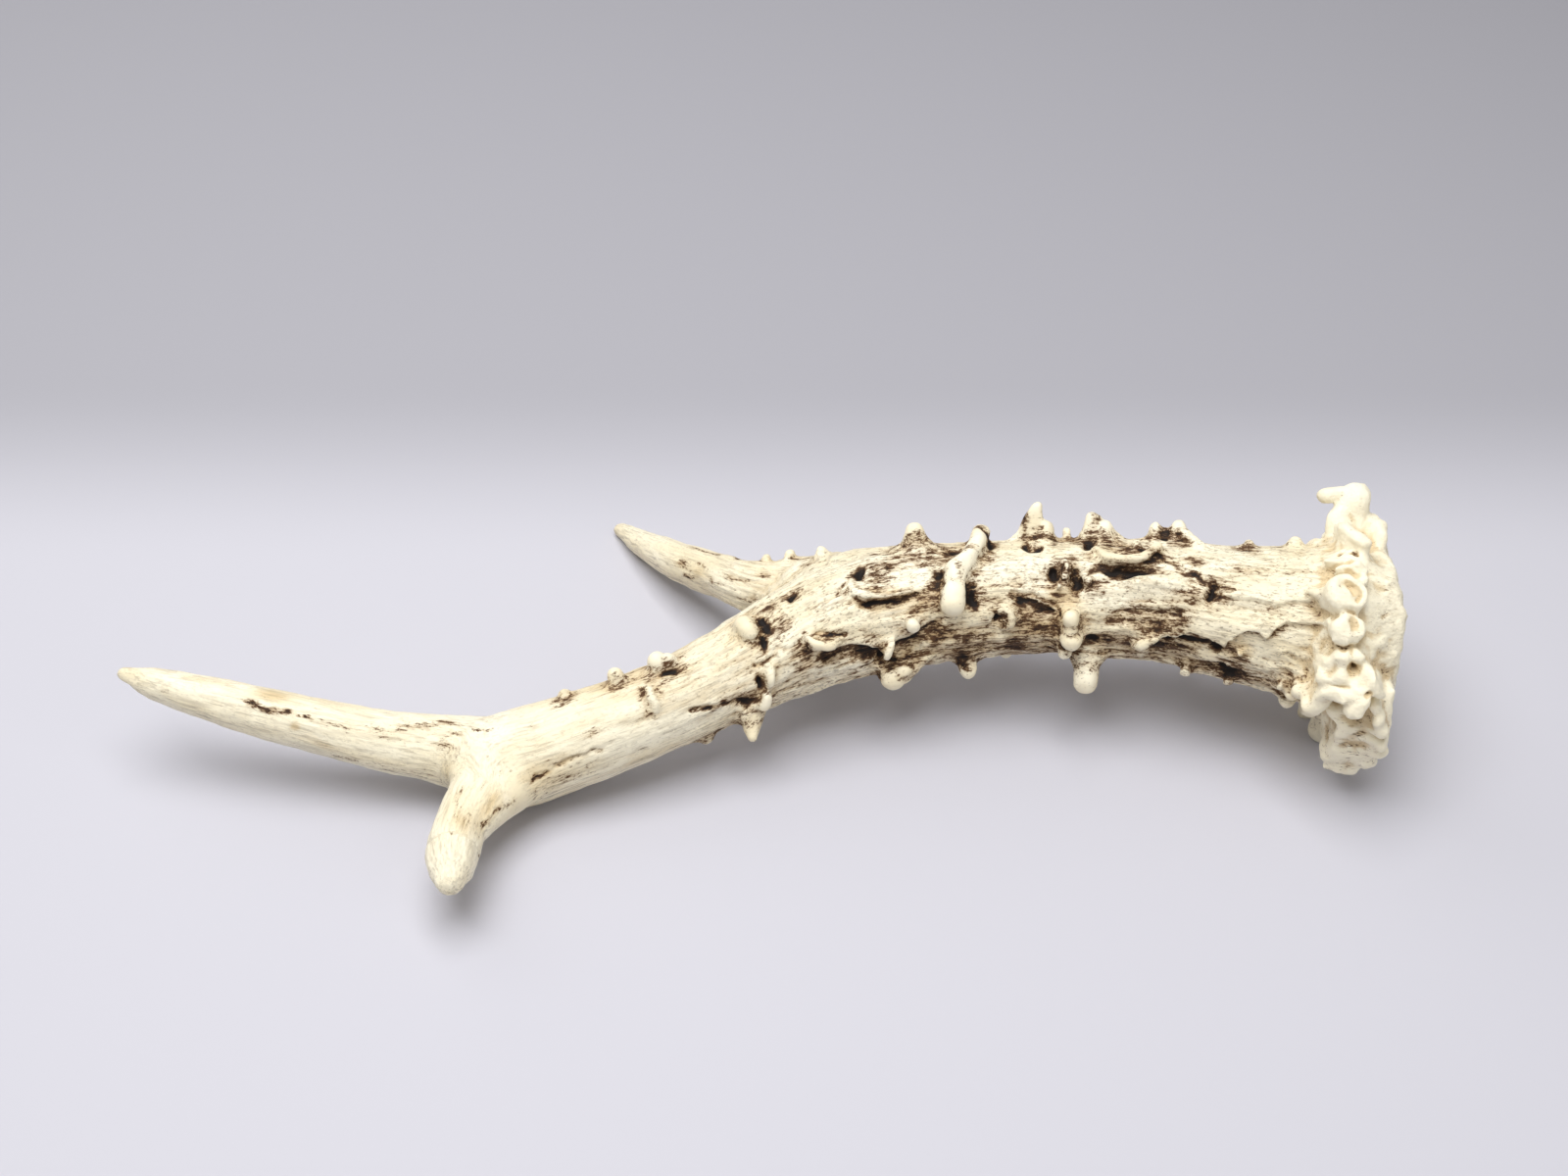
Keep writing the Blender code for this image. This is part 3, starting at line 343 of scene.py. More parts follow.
TOP_STAINS = (
    Stain(60.4, 26, 2.2, 0.5, 1.1), Stain(57.4, 30, 2.0, 0.7, 1.15), Stain(54.6, 33, 1.6, 0.5, 1.1),
    Stain(51.6, 31, 2.0, 0.35, 1.0), Stain(46, 30, 4.0, 0.6, 0.45), Stain(38, 24, 4.4, 1.0, 0.45),
    Stain(30, 2, 3.0, 0.6, 0.65), Stain(27, -6, 3.0, 0.5, 0.6), Stain(24.4, 10, 1.6, 0.6, 0.65),
    Stain(19.6, 2, 2.0, 0.5, 0.65), Stain(33, 12, 4.0, 0.6, 0.5), Stain(75.8, 53, 1.6, 1.0, 0.45),
    Stain(25, 34, 3.0, 1.6, 0.4), Stain(38, 96, 14.0, 1.4, 0.35),
)
FRONT_STAINS = (
    Stain(50, 74, 2.0, 0.5, 1.1), Stain(52, 48, 3.0, 1.1, 0.6), Stain(46.6, 35, 3.0, 0.5, 0.65),
    Stain(40, 66, 4.0, 0.6, 0.55), Stain(36, 40, 4.0, 0.6, 0.6), Stain(31, 74, 3.0, 0.6, 0.55),
    Stain(30, 20, 2.0, 0.7, 0.55), Stain(48, -14, 6.0, 0.5, 0.85), Stain(38, -26, 6.0, 0.5, 0.75),
    Stain(25, -30, 2.0, 1.0, 0.6), Stain(20, 0, 3.0, 0.7, 0.55),
)
REAR_STAINS = (
    Stain(20.4, -14, 2.0, 0.5, 0.65), Stain(26, 10, 3.0, 2.4, 0.3), Stain(31, 3, 0.8, 0.6, 0.65),
    Stain(28.6, 40, 1.2, 2.0, 0.35), Stain(31.2, 100, 0.6, 0.5, 0.85), Stain(25, 70, 2.4, 0.5, 0.65),
    Stain(21.2, 70, 2.4, 0.5, 0.7), Stain(17.2, 76, 2.6, 0.5, 0.65), Stain(27, 30, 3.0, 2.0, 0.3),
)
BEAM_OCHRE = (
    Stain(60, 51, 3.0, 3.4, 1.0), Stain(91, 38, 8.0, 2.4, 0.9), Stain(84, 80, 6.0, 3.4, 0.8),
    Stain(66, 84, 7.0, 4.0, 0.6), Stain(96, 90, 3.0, 4.0, 0.7), Stain(53, 96, 3.0, 3.0, 0.8),
    Stain(28, 84, 3.0, 2.4, 0.8), Stain(12.6, 12, 2.6, 2.4, 1.0, 4.4),
    Stain(10.4, 102, 1.8, 1.2, 1.1, 7.6), Stain(11, 69.6, 1.2, 1.2, 1.1, 6.4),
    Stain(9.8, 78.4, 1.2, 1.2, 1.2, 8.0), Stain(118, 30, 4.0, 4.0, 0.4),
    Stain(12.2, 28, 1.1, 1.6, 1.1, 4.8), Stain(11.8, 47, 1.2, 1.2, 1.0, 4.8),
    Stain(12.6, 60, 1.8, 1.4, 1.0, 4.2), Stain(158, 66, 8.0, 2.4, 0.6), Stain(146, 100, 10.0, 3.0, 0.6),
)
TOP_OCHRE = (
    Stain(58, -8, 5.0, 1.8, 1.0), Stain(52.4, 55, 1.4, 1.4, 1.3), Stain(70, -12, 8.0, 2.0, 0.9),
    Stain(88, 40, 5.0, 3.0, 0.4), Stain(48, 76, 10.0, 1.4, 0.6),
)
REAR_OCHRE = (Stain(28, 20, 4.0, 4.0, 0.9), Stain(21, 60, 5.0, 2.0, 0.8))
FRONT_OCHRE = (Stain(46, 60, 8.0, 3.0, 0.6), Stain(30, 30, 6.0, 3.0, 0.5))
DIRT = ((BEAM, BEAM_STAINS), (TOP_TINE, TOP_STAINS), (FRONT_TINE, FRONT_STAINS), (REAR_TINE, REAR_STAINS))
OCHRE = ((BEAM, BEAM_OCHRE), (TOP_TINE, TOP_OCHRE), (FRONT_TINE, FRONT_OCHRE), (REAR_TINE, REAR_OCHRE))


def linear(hex_colour):
    """An sRGB hex colour as linear red, green, blue and alpha."""
    channels = [int(hex_colour[i:i + 2], 16) / 255 for i in (1, 3, 5)]
    return [c / 12.92 if c <= 0.04045 else ((c + 0.055) / 1.055) ** 2.4 for c in channels] + [1.0]


def length(name, description, millimetres):
    return FloatProperty(name=name, description=description, default=millimetres * MM, min=0,
                         unit="LENGTH", precision=5)


def colour(name, description, hex_colour):
    return FloatVectorProperty(name=name, description=description, subtype="COLOR", size=4, min=0, max=1,
                               default=linear(hex_colour))


class AntlerShape(bpy.types.PropertyGroup):
    """Sizes of the antler's skin."""

    voxel: length("Voxel", "Cell size of the fused skin", 0.36)
    triangles: IntProperty(name="Triangles", description="Most triangles that the skin keeps",
                           default=190000, min=1)
    furrow_depth: length("Furrow Depth", "Depth of the long furrows between the fibres", 0.3)
    furrow_width: length("Furrow Width", "Width from one furrow to the next", 1.9)
    furrow_length: length("Furrow Length", "Length of a furrow along the beam", 15)
    stray: length("Stray", "How far the shapes stray from smooth ones", 1.0)
    stray_size: length("Stray Size", "Size of those bends", 4.0)
    grain_size: length("Granules", "Size of the small bony grains between the knobs", 0.9)


class BoneColours(bpy.types.PropertyGroup):
    """Colours of the weathered bone."""

    ivory: colour("Ivory", "Clean bone", "#F0E3C2")
    chalk: colour("Chalk", "Bleached bone on the crests", "#FBF3DA")
    honey: colour("Honey", "Old grease in hollows", "#CDB07C")
    ash: colour("Ash", "Grey-brown of the open fibres", "#86765F")
    # tan, umber and soot also colour the painted shade of hollows and the painted shadow under shelf edges
    tan: colour("Tan", "Bone that dirt has only tinted", "#A98A60")
    umber: colour("Umber", "Thin dirt round a dark spot", "#5B3D23")
    soot: colour("Soot", "Thick dirt at the bottom of pits", "#170F0A")


class StudioSettings(bpy.types.PropertyGroup):
    """The floor, the light and the camera."""

    floor_colour: colour("Floor", "Pale card that the antler lies on", "#C3C2CA")
    key_power: FloatProperty(name="Key Light", description="Power of the large soft light above",
                             default=4.45, unit="POWER")
    camera_height: FloatProperty(name="Camera Elevation", description="Angle of the camera above the floor",
                                 default=math.radians(42), subtype="ANGLE", unit="ROTATION")
    camera_distance: length("Camera Distance", "From the camera to the floor", 430)
    focal_length: FloatProperty(name="Focal Length", description="Lens on a 36 mm wide sensor",
                                default=50, unit="CAMERA")


# How the tubes are swept and fused.
LIMB_SIDES = 12  # bevel resolution of a limb
TUBE_SIDES = 4  # bevel resolution of a pearl or ridge
SAMPLES = 12  # points between two control points of a smooth curve
BEAM_STEP = 0.4  # between the rings of the beam
RIDGE_STEP = 2  # every so many of them carry a ridge
DOME = (20, 40, 58, 72, 84)  # degrees round the dome at the end of a tube
WALL_STEP = 1.2  # from one course of a tall ridge's wall to the next
ROOT_FLARE = 1.2  # how much wider a pearl's root is under the surface
NECKED = 2.0  # a pearl that is higher than this many radii of its tip gets a neck
NECK_PLACE = 0.45  # how far up the neck is
NECK_RADIUS = 0.43  # radius of the neck, as a share of the root's and the tip's together
WELD = 0.001
SMOOTHING = 0.5
SMOOTH_PASSES = 3
CHUNK = 20000  # points measured at a time


class Limb:
    """A smooth, tapering axis through a few control points, with the round surface about it."""

    def __init__(self, points):
        self.samples = smooth_curve(points)
        steps = np.linalg.norm(np.diff(self.samples[:, :3], axis=0), axis=1)
        self.stations = np.concatenate([[0], np.cumsum(steps)])
        self.length = self.stations[-1]

    def place(self, station):
        """Centre, radius and the directions along, up and sideways at a station."""
        here = self.interpolate(station)
        ahead = self.interpolate(station + 1)
        behind = self.interpolate(station - 1)
        along = Vector(ahead[:3] - behind[:3]).normalized()
        up = (Vector((0, 0, 1)) - along * along.z).normalized()
        side = along.cross(up)
        if side.y > 0:
            side.negate()
        return Vector(here[:3]), here[3], along, up, side

    def interpolate(self, station):
        station = min(max(station, 0), self.length)
        return np.array([np.interp(station, self.stations, column) for column in self.samples.T])

    def surface(self, station, angle, height=0.0):
        """The point this high above the round surface, and the direction outwards there."""
        centre, radius, _, up, side = self.place(station)
        turn = math.radians(angle)
        outward = up * math.cos(turn) + side * math.sin(turn)
        return centre + outward * (radius + height), outward

    def path(self):
        return [(Vector(sample[:3]), sample[3]) for sample in self.samples]

    def measure(self, points):
        """Station, upward and sideways offsets from the axis, and height above the round surface."""
        frames = [self.place(station) for station in self.stations]
        centres, radii, along, up, side = (np.array(column) for column in zip(*frames))
        rows = []
        for start in range(0, len(points), CHUNK):
            some = points[start:start + CHUNK]
            squares = (some**2).sum(axis=1)[:, None] - 2 * some @ centres.T + (centres**2).sum(axis=1)
            near = squares.argmin(axis=1)
            away = some - centres[near]
            ahead = (away * along[near]).sum(axis=1)
            upward = (away * up[near]).sum(axis=1)
            sideways = (away * side[near]).sum(axis=1)
            over = np.sqrt(np.maximum(squares[np.arange(len(some)), near], 0)) - radii[near]
            rows.append(np.column_stack([self.stations[near] + ahead, upward, sideways, over]))
        return np.vstack(rows).T


def smooth_curve(points):
    """Catmull-Rom curve through the points, each of which may hold a radius or height as well."""
    points = np.array(points, float)
    ends = (2 * points[0] - points[1], 2 * points[-1] - points[-2])
    padded = np.vstack([ends[0], points, ends[1]])
    curve = []
    for before, start, end, after in zip(padded, padded[1:], padded[2:], padded[3:]):
        for t in np.linspace(0, 1, SAMPLES, endpoint=False):
            bend = 2 * before - 5 * start + 4 * end - after
            twist = 3 * start - before - 3 * end + after
            curve.append(start + 0.5 * ((end - before) * t + bend * t**2 + twist * t**3))
    curve.append(points[-1])
    return np.array(curve)


def domed(path):
    """The path with a round end added after its last point."""
    (before, _), (end, radius) = path[-2:]
    along = (end - before).normalized()
    turns = [math.radians(degrees) for degrees in DOME]
    return path + [(end + along * radius * math.sin(a), radius * math.cos(a)) for a in turns]


def pearl_path(limb, pearl):
    """A bead on a flared root, from just under the surface to its round tip."""
    _, _, along, _, _ = limb.place(pearl.station)
    foot, outward = limb.surface(pearl.station, pearl.angle)
    top = foot + outward * (pearl.height - pearl.tip) + along * pearl.lean
    path = [(foot - outward * pearl.root, pearl.root * ROOT_FLARE)]
    if pearl.height > NECKED * pearl.tip:
        neck = NECK_RADIUS * (pearl.root + pearl.tip)
        path += [(foot, pearl.root), (foot.lerp(top, NECK_PLACE), neck)]
    return domed(path + [(top, pearl.tip)])


def ridge_paths(limb, crest, walled=True):
    """A rounded crest that follows the limb's surface, with the wall that carries it where it is tall."""
    rows = smooth_curve(crest)[::RIDGE_STEP]
    levels = rows[:, 2] - rows[:, 3]
    courses = np.arange(0, levels.max(), WALL_STEP) if walled and levels.max() > 0 else (0,)
    paths = []
    for sunk in courses:
        path = []
        for (station, angle, _, half_width), level in zip(rows, levels):
            point, _ = limb.surface(station, angle, max(level - sunk, -half_width))
            path.append((point, half_width))
        paths.append(domed(domed(path[::-1])[::-1]))
    return paths


def beam_path(limb):
    """The beam itself, with the edge of the cast face rounded off."""
    path = []
    for station in np.arange(BASE_FACE, limb.length, BEAM_STEP):
        centre, radius, *_ = limb.place(station)
        inset = max(0, BASE_EDGE - (station - BASE_FACE))
        path.append((centre, radius - BASE_EDGE + math.sqrt(BASE_EDGE**2 - inset**2)))
    return domed(path)


def far_side_pearls():
    """Pearls for the side that faces away and down, kept apart from one another."""
    choose = random.Random(SEED)
    pearls = []
    for _ in range(FAR_TRIES):
        station = choose.uniform(*FAR_STATIONS)
        angle = choose.uniform(*FAR_ANGLES)
        height = choose.uniform(*FAR_HEIGHTS)
        gaps = [math.hypot(station - p.station, (angle - p.angle) * FAR_ARC) for p in pearls]
        if min(gaps, default=math.inf) > FAR_SPACING + height:
            root, tip = (least + growth * height for least, growth in (FAR_ROOT, FAR_TIP))
            pearls.append(Pearl(station, angle, height, root, tip))
    return pearls


def swelling(station):
    """How high the coronet's collar stands above the beam."""
    height, width = COLLAR
    return height * math.exp(-(((station - CORONET_STATION) / width) ** 2))


def coronet_paths(beam):
    """The ring above the cast base, with its knobs: the nearer ones placed, the far ones by rule."""
    choose = random.Random(SEED)
    collar = []
    for station in np.arange(*COLLAR_STATIONS, BEAM_STEP):
        centre, radius, *_ = beam.place(station)
        collar.append((centre, radius + swelling(station) - COLLAR_SINK))
    paths = [collar]
    knobs = list(CORONET_PEARLS)
    for _ in range(CORONET_BEADS):
        station = choose.uniform(*BEAD_STATIONS)
        radius = choose.uniform(*BEAD_RADII)
        angle = choose.uniform(*BEAD_ANGLES)
        knobs.append(Pearl(station, angle, swelling(station) + BEAD_RISE * radius, radius, radius))
    stations = zip(cycle(FAR_KNOB_STATIONS), cycle(LOW_KNOB_STATIONS))
    for angle, height, (shift, low_shift) in zip(CORONET_FAR_ANGLES, CORONET_FAR_HEIGHTS, stations):
        station = CORONET_STATION + shift
        knobs.append(Pearl(station, angle, height, *FAR_KNOB))
        knobs.append(Pearl(station + low_shift, angle + LOW_KNOB_TURN, LOW_KNOB_SHARE * height, *LOW_KNOB))
    paths += [pearl_path(beam, knob) for knob in knobs]
    paths += ridge_paths(beam, OVERHANG, walled=False)
    for crest in CORONET_RIDGES:
        paths += ridge_paths(beam, crest)
    for station in FAN_STATIONS:
        flute = [(station, angle, height, FAN_FLUTE) for angle, height in FAN_FACE]
        paths += ridge_paths(beam, flute)
    return paths


def coronet_share(station, before, after):
    """1 on the coronet, falling to 0 between these distances before and after its end."""
    return 1 - smooth_step(CORONET_END - before, CORONET_END + after, station)


def new_object(name, mesh):
    made = bpy.data.objects.new(name, mesh)
    bpy.context.scene.collection.objects.link(made)
    return made


def evaluated_mesh(item):
    bpy.context.view_layer.update()
    graph = bpy.context.evaluated_depsgraph_get()
    return bpy.data.meshes.new_from_object(item.evaluated_get(graph))


def baked(item):
    """The object with its modifiers applied to its mesh."""
    mesh = evaluated_mesh(item)
    item.modifiers.clear()
    item.data = mesh
    return item


def swept(name, paths, sides):
    """One mesh of closed tubes, each swept along a path of points and radii."""
    curve = bpy.data.curves.new(name, "CURVE")
    curve.dimensions = "3D"
    curve.bevel_depth = MM
    curve.bevel_resolution = sides
    curve.use_fill_caps = True
    for path in paths:
        spline = curve.splines.new("POLY")
        spline.points.add(len(path) - 1)
        for knot, (place, radius) in zip(spline.points, path):
            knot.co = (*(place * MM), 1)
            knot.radius = radius
    guide = new_object(name, curve)
    mesh = evaluated_mesh(guide)
    bpy.data.objects.remove(guide)
    shell = bmesh.new()
    shell.from_mesh(mesh)
    bmesh.ops.remove_doubles(shell, verts=shell.verts, dist=WELD * MM)
    shell.to_mesh(mesh)
    shell.free()
    return mesh


def joined(name, meshes):
    shell = bmesh.new()
    for mesh in meshes:
        shell.from_mesh(mesh)
    whole = bpy.data.meshes.new(name)
    shell.to_mesh(whole)
    shell.free()
    return new_object(name, whole)


def fused(item, voxel):
    """One skin over everything in the mesh, with the joins softened."""
    remesh = item.modifiers.new("one skin", "REMESH")
    remesh.mode = "VOXEL"
    remesh.voxel_size = voxel
    smooth = item.modifiers.new("soft joins", "SMOOTH")
    smooth.factor = SMOOTHING
    smooth.iterations = SMOOTH_PASSES
    return baked(item)


def thinned(item, triangles):
    """The same shape with fewer triangles, closest together where it bends most."""
    item.modifiers.new("triangles", "TRIANGULATE")
    baked(item)
    fewer = item.modifiers.new("fewer triangles", "DECIMATE")
    fewer.ratio = min(1, triangles / len(item.data.polygons))
    return baked(item)


def largest_shell(item):
    """Drops the loose shells that fusing may leave, and keeps the one that is the antler."""
    shell = bmesh.new()
    shell.from_mesh(item.data)
    left = set(shell.verts)
    bodies = []
    while left:
        body = set()
        edge_of_body = [left.pop()]
        while edge_of_body:
            vert = edge_of_body.pop()
            body.add(vert)
            near = {edge.other_vert(vert) for edge in vert.link_edges} & left
            left -= near
            edge_of_body += near
        bodies.append(body)
    bodies.sort(key=len)
    for body in bodies[:-1]:
        bmesh.ops.delete(shell, geom=list(body), context="VERTS")
    shell.to_mesh(item.data)
    shell.free()


def points_of(mesh):
    points = np.empty(len(mesh.vertices) * 3)
    mesh.vertices.foreach_get("co", points)
    return points.reshape(-1, 3) / MM


def set_points(mesh, points):
    mesh.vertices.foreach_set("co", (points * MM).ravel())
    mesh.update()


def spread(points, limb, spot, along_radius, around_radius):
    """How near each point is to a spot on the limb, from 1 at its middle to 0, and the way out there."""
    centre, outward = limb.surface(spot.station, spot.angle, spot.height)
    along = limb.place(spot.station)[2]
    across = outward.cross(along)
    away = points - centre
    total = (away @ along / along_radius) ** 2 + (away @ across / around_radius) ** 2
    total += (away @ outward / PIT_REACH) ** 2
    return np.exp(-total), outward


GROOVE_STEP = 3  # every so many points of a groove's smooth path are used


def groove_nearness(points, limb, groove):
    """How near each point is to a groove's path, from 1 on it to 0."""
    course = [np.array(limb.surface(*spot)[0]) for spot in smooth_curve(groove.path)[::GROOVE_STEP]]
    squares = np.full(len(points), np.inf)
    for start, end in zip(course, course[1:]):
        run = end - start
        share = np.clip((points - start) @ run / (run @ run), 0, 1)
        squares = np.minimum(squares, ((points - start - share[:, None] * run) ** 2).sum(axis=1))
    return np.exp(-squares / groove.half_width**2)


def wandering(points):
    """The points moved about a little, so that what is placed by them gets ragged outlines."""
    noise.seed_set(SEED)
    moved = [noise.noise_vector(Vector(point / WANDER_SIZE)) for point in points]
    return points + WANDER * np.array(moved)


def outward_of(points, limb):
    """The direction straight out from the limb's axis at each point."""
    centres = limb.samples[:, :3]
    squares = (points**2).sum(axis=1)[:, None] - 2 * points @ centres.T + (centres**2).sum(axis=1)
    away = points - centres[squares.argmin(axis=1)]
    return away / np.linalg.norm(away, axis=1)[:, None]


def below_shelf(places, shelf):
    """How far each place has dropped below the shelf's edge, from 0 above it to 1 just under it, and how
    near it is to the edge, which weighs the painted shadow there."""
    station, up, side, _ = places
    radius = np.hypot(up, side)
    edge = np.array(shelf.edge)
    middle = np.interp(station, edge[:, 0], edge[:, 1])
    drop = (np.degrees(np.arctan2(side, up)) - middle) * np.radians(radius)
    ends = smooth_step(0, SHELF_FADE, np.minimum(station - edge[0, 0], edge[-1, 0] - station))
    share = ends * smooth_step(0, SHELF_LIP, drop) * (1 - smooth_step(SHELF_FLAT, 1, drop / shelf.reach))
    return share, ends * np.exp(-(((drop - SHELF_LIP) / SHELF_SHADOW_WIDTH) ** 2))


def carve(item, beam):
    """Presses the shelves, pits and grooves into the skin."""
    points = points_of(item.data)
    places = wandering(points)
    measured = beam.measure(points)
    outwards = outward_of(points, beam)
    for shelf in SHELVES:
        share, _ = below_shelf(measured, shelf)
        points -= outwards * (share * shelf.depth)[:, None]
    for pit in BEAM_PITS + CORONET_PITS:
        near, outward = spread(places, beam, pit, pit.along, pit.around)
        points -= np.outer(near * pit.depth, outward)
    for groove in GROOVES:
        station, angle = groove.path[len(groove.path) // 2]
        outward = beam.surface(station, angle)[1]
        points -= np.outer(groove_nearness(places, beam, groove) * groove.depth, outward)
    set_points(item.data, points)


FRONT_ROOT = 82.0  # station of the stem where the front tine's axis starts
REAR_ROOT = 153.0  # the same for the rear tine
FORK_BLEND = 6.0  # width of the zone where the fibres turn from the stem into a tine


def grain_of(points):
    """Coordinates that run with the bone's fibres: distance along, and two across, in millimetres. With
    them go the height above the nearest limb's round surface, and how much of a place is stem, not tine."""
    stem = Limb(BEAM[:-2] + TOP_TINE)
    front = Limb(FRONT_TINE)
    rear = Limb(REAR_TINE)
    station, up, side, stem_over = stem.measure(points)
    over = stem_over
    stem_share = np.ones(len(points))
    grain = np.column_stack([station, up, side])
    for limb, root in ((front, FRONT_ROOT), (rear, REAR_ROOT)):
        branch, up, side, height = limb.measure(points)
        share = np.clip((stem_over - height) / FORK_BLEND + 0.5, 0, 1)[:, None]
        grain = grain * (1 - share) + np.column_stack([branch + root, up, side]) * share
        over = np.minimum(over, height)
        stem_share *= 1 - share[:, 0]
    return grain, over, stem_share


def set_attribute(mesh, name, kind, values):
    old = mesh.attributes.get(name)
    if old:
        mesh.attributes.remove(old)
    made = mesh.attributes.new(name, kind, "POINT")
    field = "vector" if kind == "FLOAT_VECTOR" else "value"
    made.data.foreach_set(field, np.ascontiguousarray(values, np.float32).ravel())


def smooth_step(low, high, value):
    share = np.clip((value - low) / (high - low), 0, 1)
    return share**2 * (3 - 2 * share)


def add(tree, kind, inputs=None, **settings):
    """Adds a node, with its settings, and its inputs as values, as sockets to link, or as nodes whose
    first output is linked."""
    node = tree.nodes.new(kind)
    for name, value in settings.items():
        setattr(node, name, value)
    for key, value in (inputs or {}).items():
        if isinstance(value, bpy.types.Node):
            value = value.outputs[0]
        if isinstance(value, bpy.types.NodeSocket):
            tree.links.new(value, node.inputs[key])
        else:
            node.inputs[key].default_value = value
    return node


def new_material(name):
    material = bpy.data.materials.new(name)
    material.use_nodes = True
    material.node_tree.nodes.clear()
    return material, material.node_tree


def modifier_with(item, tree, values):
    """A Geometry Nodes modifier whose named inputs are set by their identifiers."""
    modifier = item.modifiers.new(tree.name, "NODES")
    modifier.node_group = tree
    for socket in tree.interface.items_tree:
        if socket.item_type == "SOCKET" and socket.name in values:
            modifier[socket.identifier] = values[socket.name]
    return modifier


GRAIN_SCALES = (0.35, 1.0)  # smallest and largest bony grain, as shares of their size
# Furrows of three sizes: width and depth, as shares of the middle size's, and the shift of the seed.
FURROWS = ((1.0, 1.0, 0.0), (0.42, 0.45, 40.0), (2.6, 0.9, 80.0))
FURROW_RANGE = (0.36, 0.62)  # values of the noise at a furrow's floor and at the crest beside it
CREST_SHARE = 0.25  # how far a crest stands up, as a share of the depth


def new_geometry_tree(name, sizes):
    """A tree with a geometry input, one named size input for each name, and a geometry output."""
    tree = bpy.data.node_groups.new(name, "GeometryNodeTree")
    tree.interface.new_socket("Geometry", in_out="INPUT", socket_type="NodeSocketGeometry")
    tree.interface.new_socket("Geometry", in_out="OUTPUT", socket_type="NodeSocketGeometry")
    for size in sizes:
        tree.interface.new_socket(size, in_out="INPUT", socket_type="NodeSocketFloat")
    return tree, add(tree, "NodeGroupInput").outputs


def close_geometry_tree(tree, geometry, material):
    realized = add(tree, "GeometryNodeRealizeInstances", {"Geometry": geometry})
    coated = add(tree, "GeometryNodeSetMaterial", {"Geometry": realized, "Material": material})
    add(tree, "NodeGroupOutput", {0: coated})
    return tree


def granule_tree(material):
    """Scatters small bony grains over the skin, thickest where the 'beady' attribute is 1."""
    tree, sizes = new_geometry_tree("bony grains", ("Size", "Density", "Seed"))
    beady = add(tree, "GeometryNodeInputNamedAttribute", {"Name": "beady"}, data_type="FLOAT")
    density = add(tree, "ShaderNodeMath", {0: beady, 1: sizes["Density"]}, operation="MULTIPLY")
    seed = add(tree, "FunctionNodeFloatToInt", {0: sizes["Seed"]})
    scattered = add(tree, "GeometryNodeDistributePointsOnFaces",
                    {"Mesh": sizes["Geometry"], "Density": density, "Seed": seed})
    ball = add(tree, "GeometryNodeMeshIcoSphere", {"Radius": sizes["Size"], "Subdivisions": 2})
    smallest, largest = GRAIN_SCALES
    scale = add(tree, "FunctionNodeRandomValue", {2: smallest, 3: largest, "Seed": seed}, data_type="FLOAT")
    grains = add(tree, "GeometryNodeInstanceOnPoints",
                 {"Points": scattered, "Instance": ball, "Scale": scale.outputs[1]})
    both = add(tree, "GeometryNodeJoinGeometry")
    tree.links.new(sizes["Geometry"], both.inputs[0])
    tree.links.new(grains.outputs[0], both.inputs[0])
    return close_geometry_tree(tree, both, material)


def furrow_nodes(tree, sizes):
    """Adds the noise of furrows in three sizes, and returns the sum of their heights."""
    grain = add(tree, "GeometryNodeInputNamedAttribute", {"Name": "grain"}, data_type="FLOAT_VECTOR")
    total = None
    for width_share, depth_share, shift in FURROWS:
        along = add(tree, "ShaderNodeMath", {0: width_share, 1: sizes["Length"]}, operation="MULTIPLY")
        across = add(tree, "ShaderNodeMath", {0: width_share, 1: sizes["Width"]}, operation="MULTIPLY")
        cell = add(tree, "ShaderNodeCombineXYZ", {"X": along, "Y": across, "Z": across})
        placed = add(tree, "ShaderNodeVectorMath", {0: grain, 1: cell}, operation="DIVIDE")
        seed = add(tree, "ShaderNodeMath", {0: sizes["Seed"], 1: shift}, operation="ADD")
        furrows = add(tree, "ShaderNodeTexNoise",
                      {"Vector": placed, "W": seed, "Scale": 1.0, "Detail": 2.0, "Roughness": 0.5,
                       "Distortion": 0.4}, noise_dimensions="4D")
        low, high = FURROW_RANGE
        height = add(tree, "ShaderNodeMapRange",
                     {"Value": furrows, "From Min": low, "From Max": high, "To Min": -depth_share,
                      "To Max": CREST_SHARE * depth_share}, interpolation_type="SMOOTHSTEP")
        if total is None:
            total = height
        else:
            total = add(tree, "ShaderNodeMath", {0: total, 1: height}, operation="ADD")
    return total


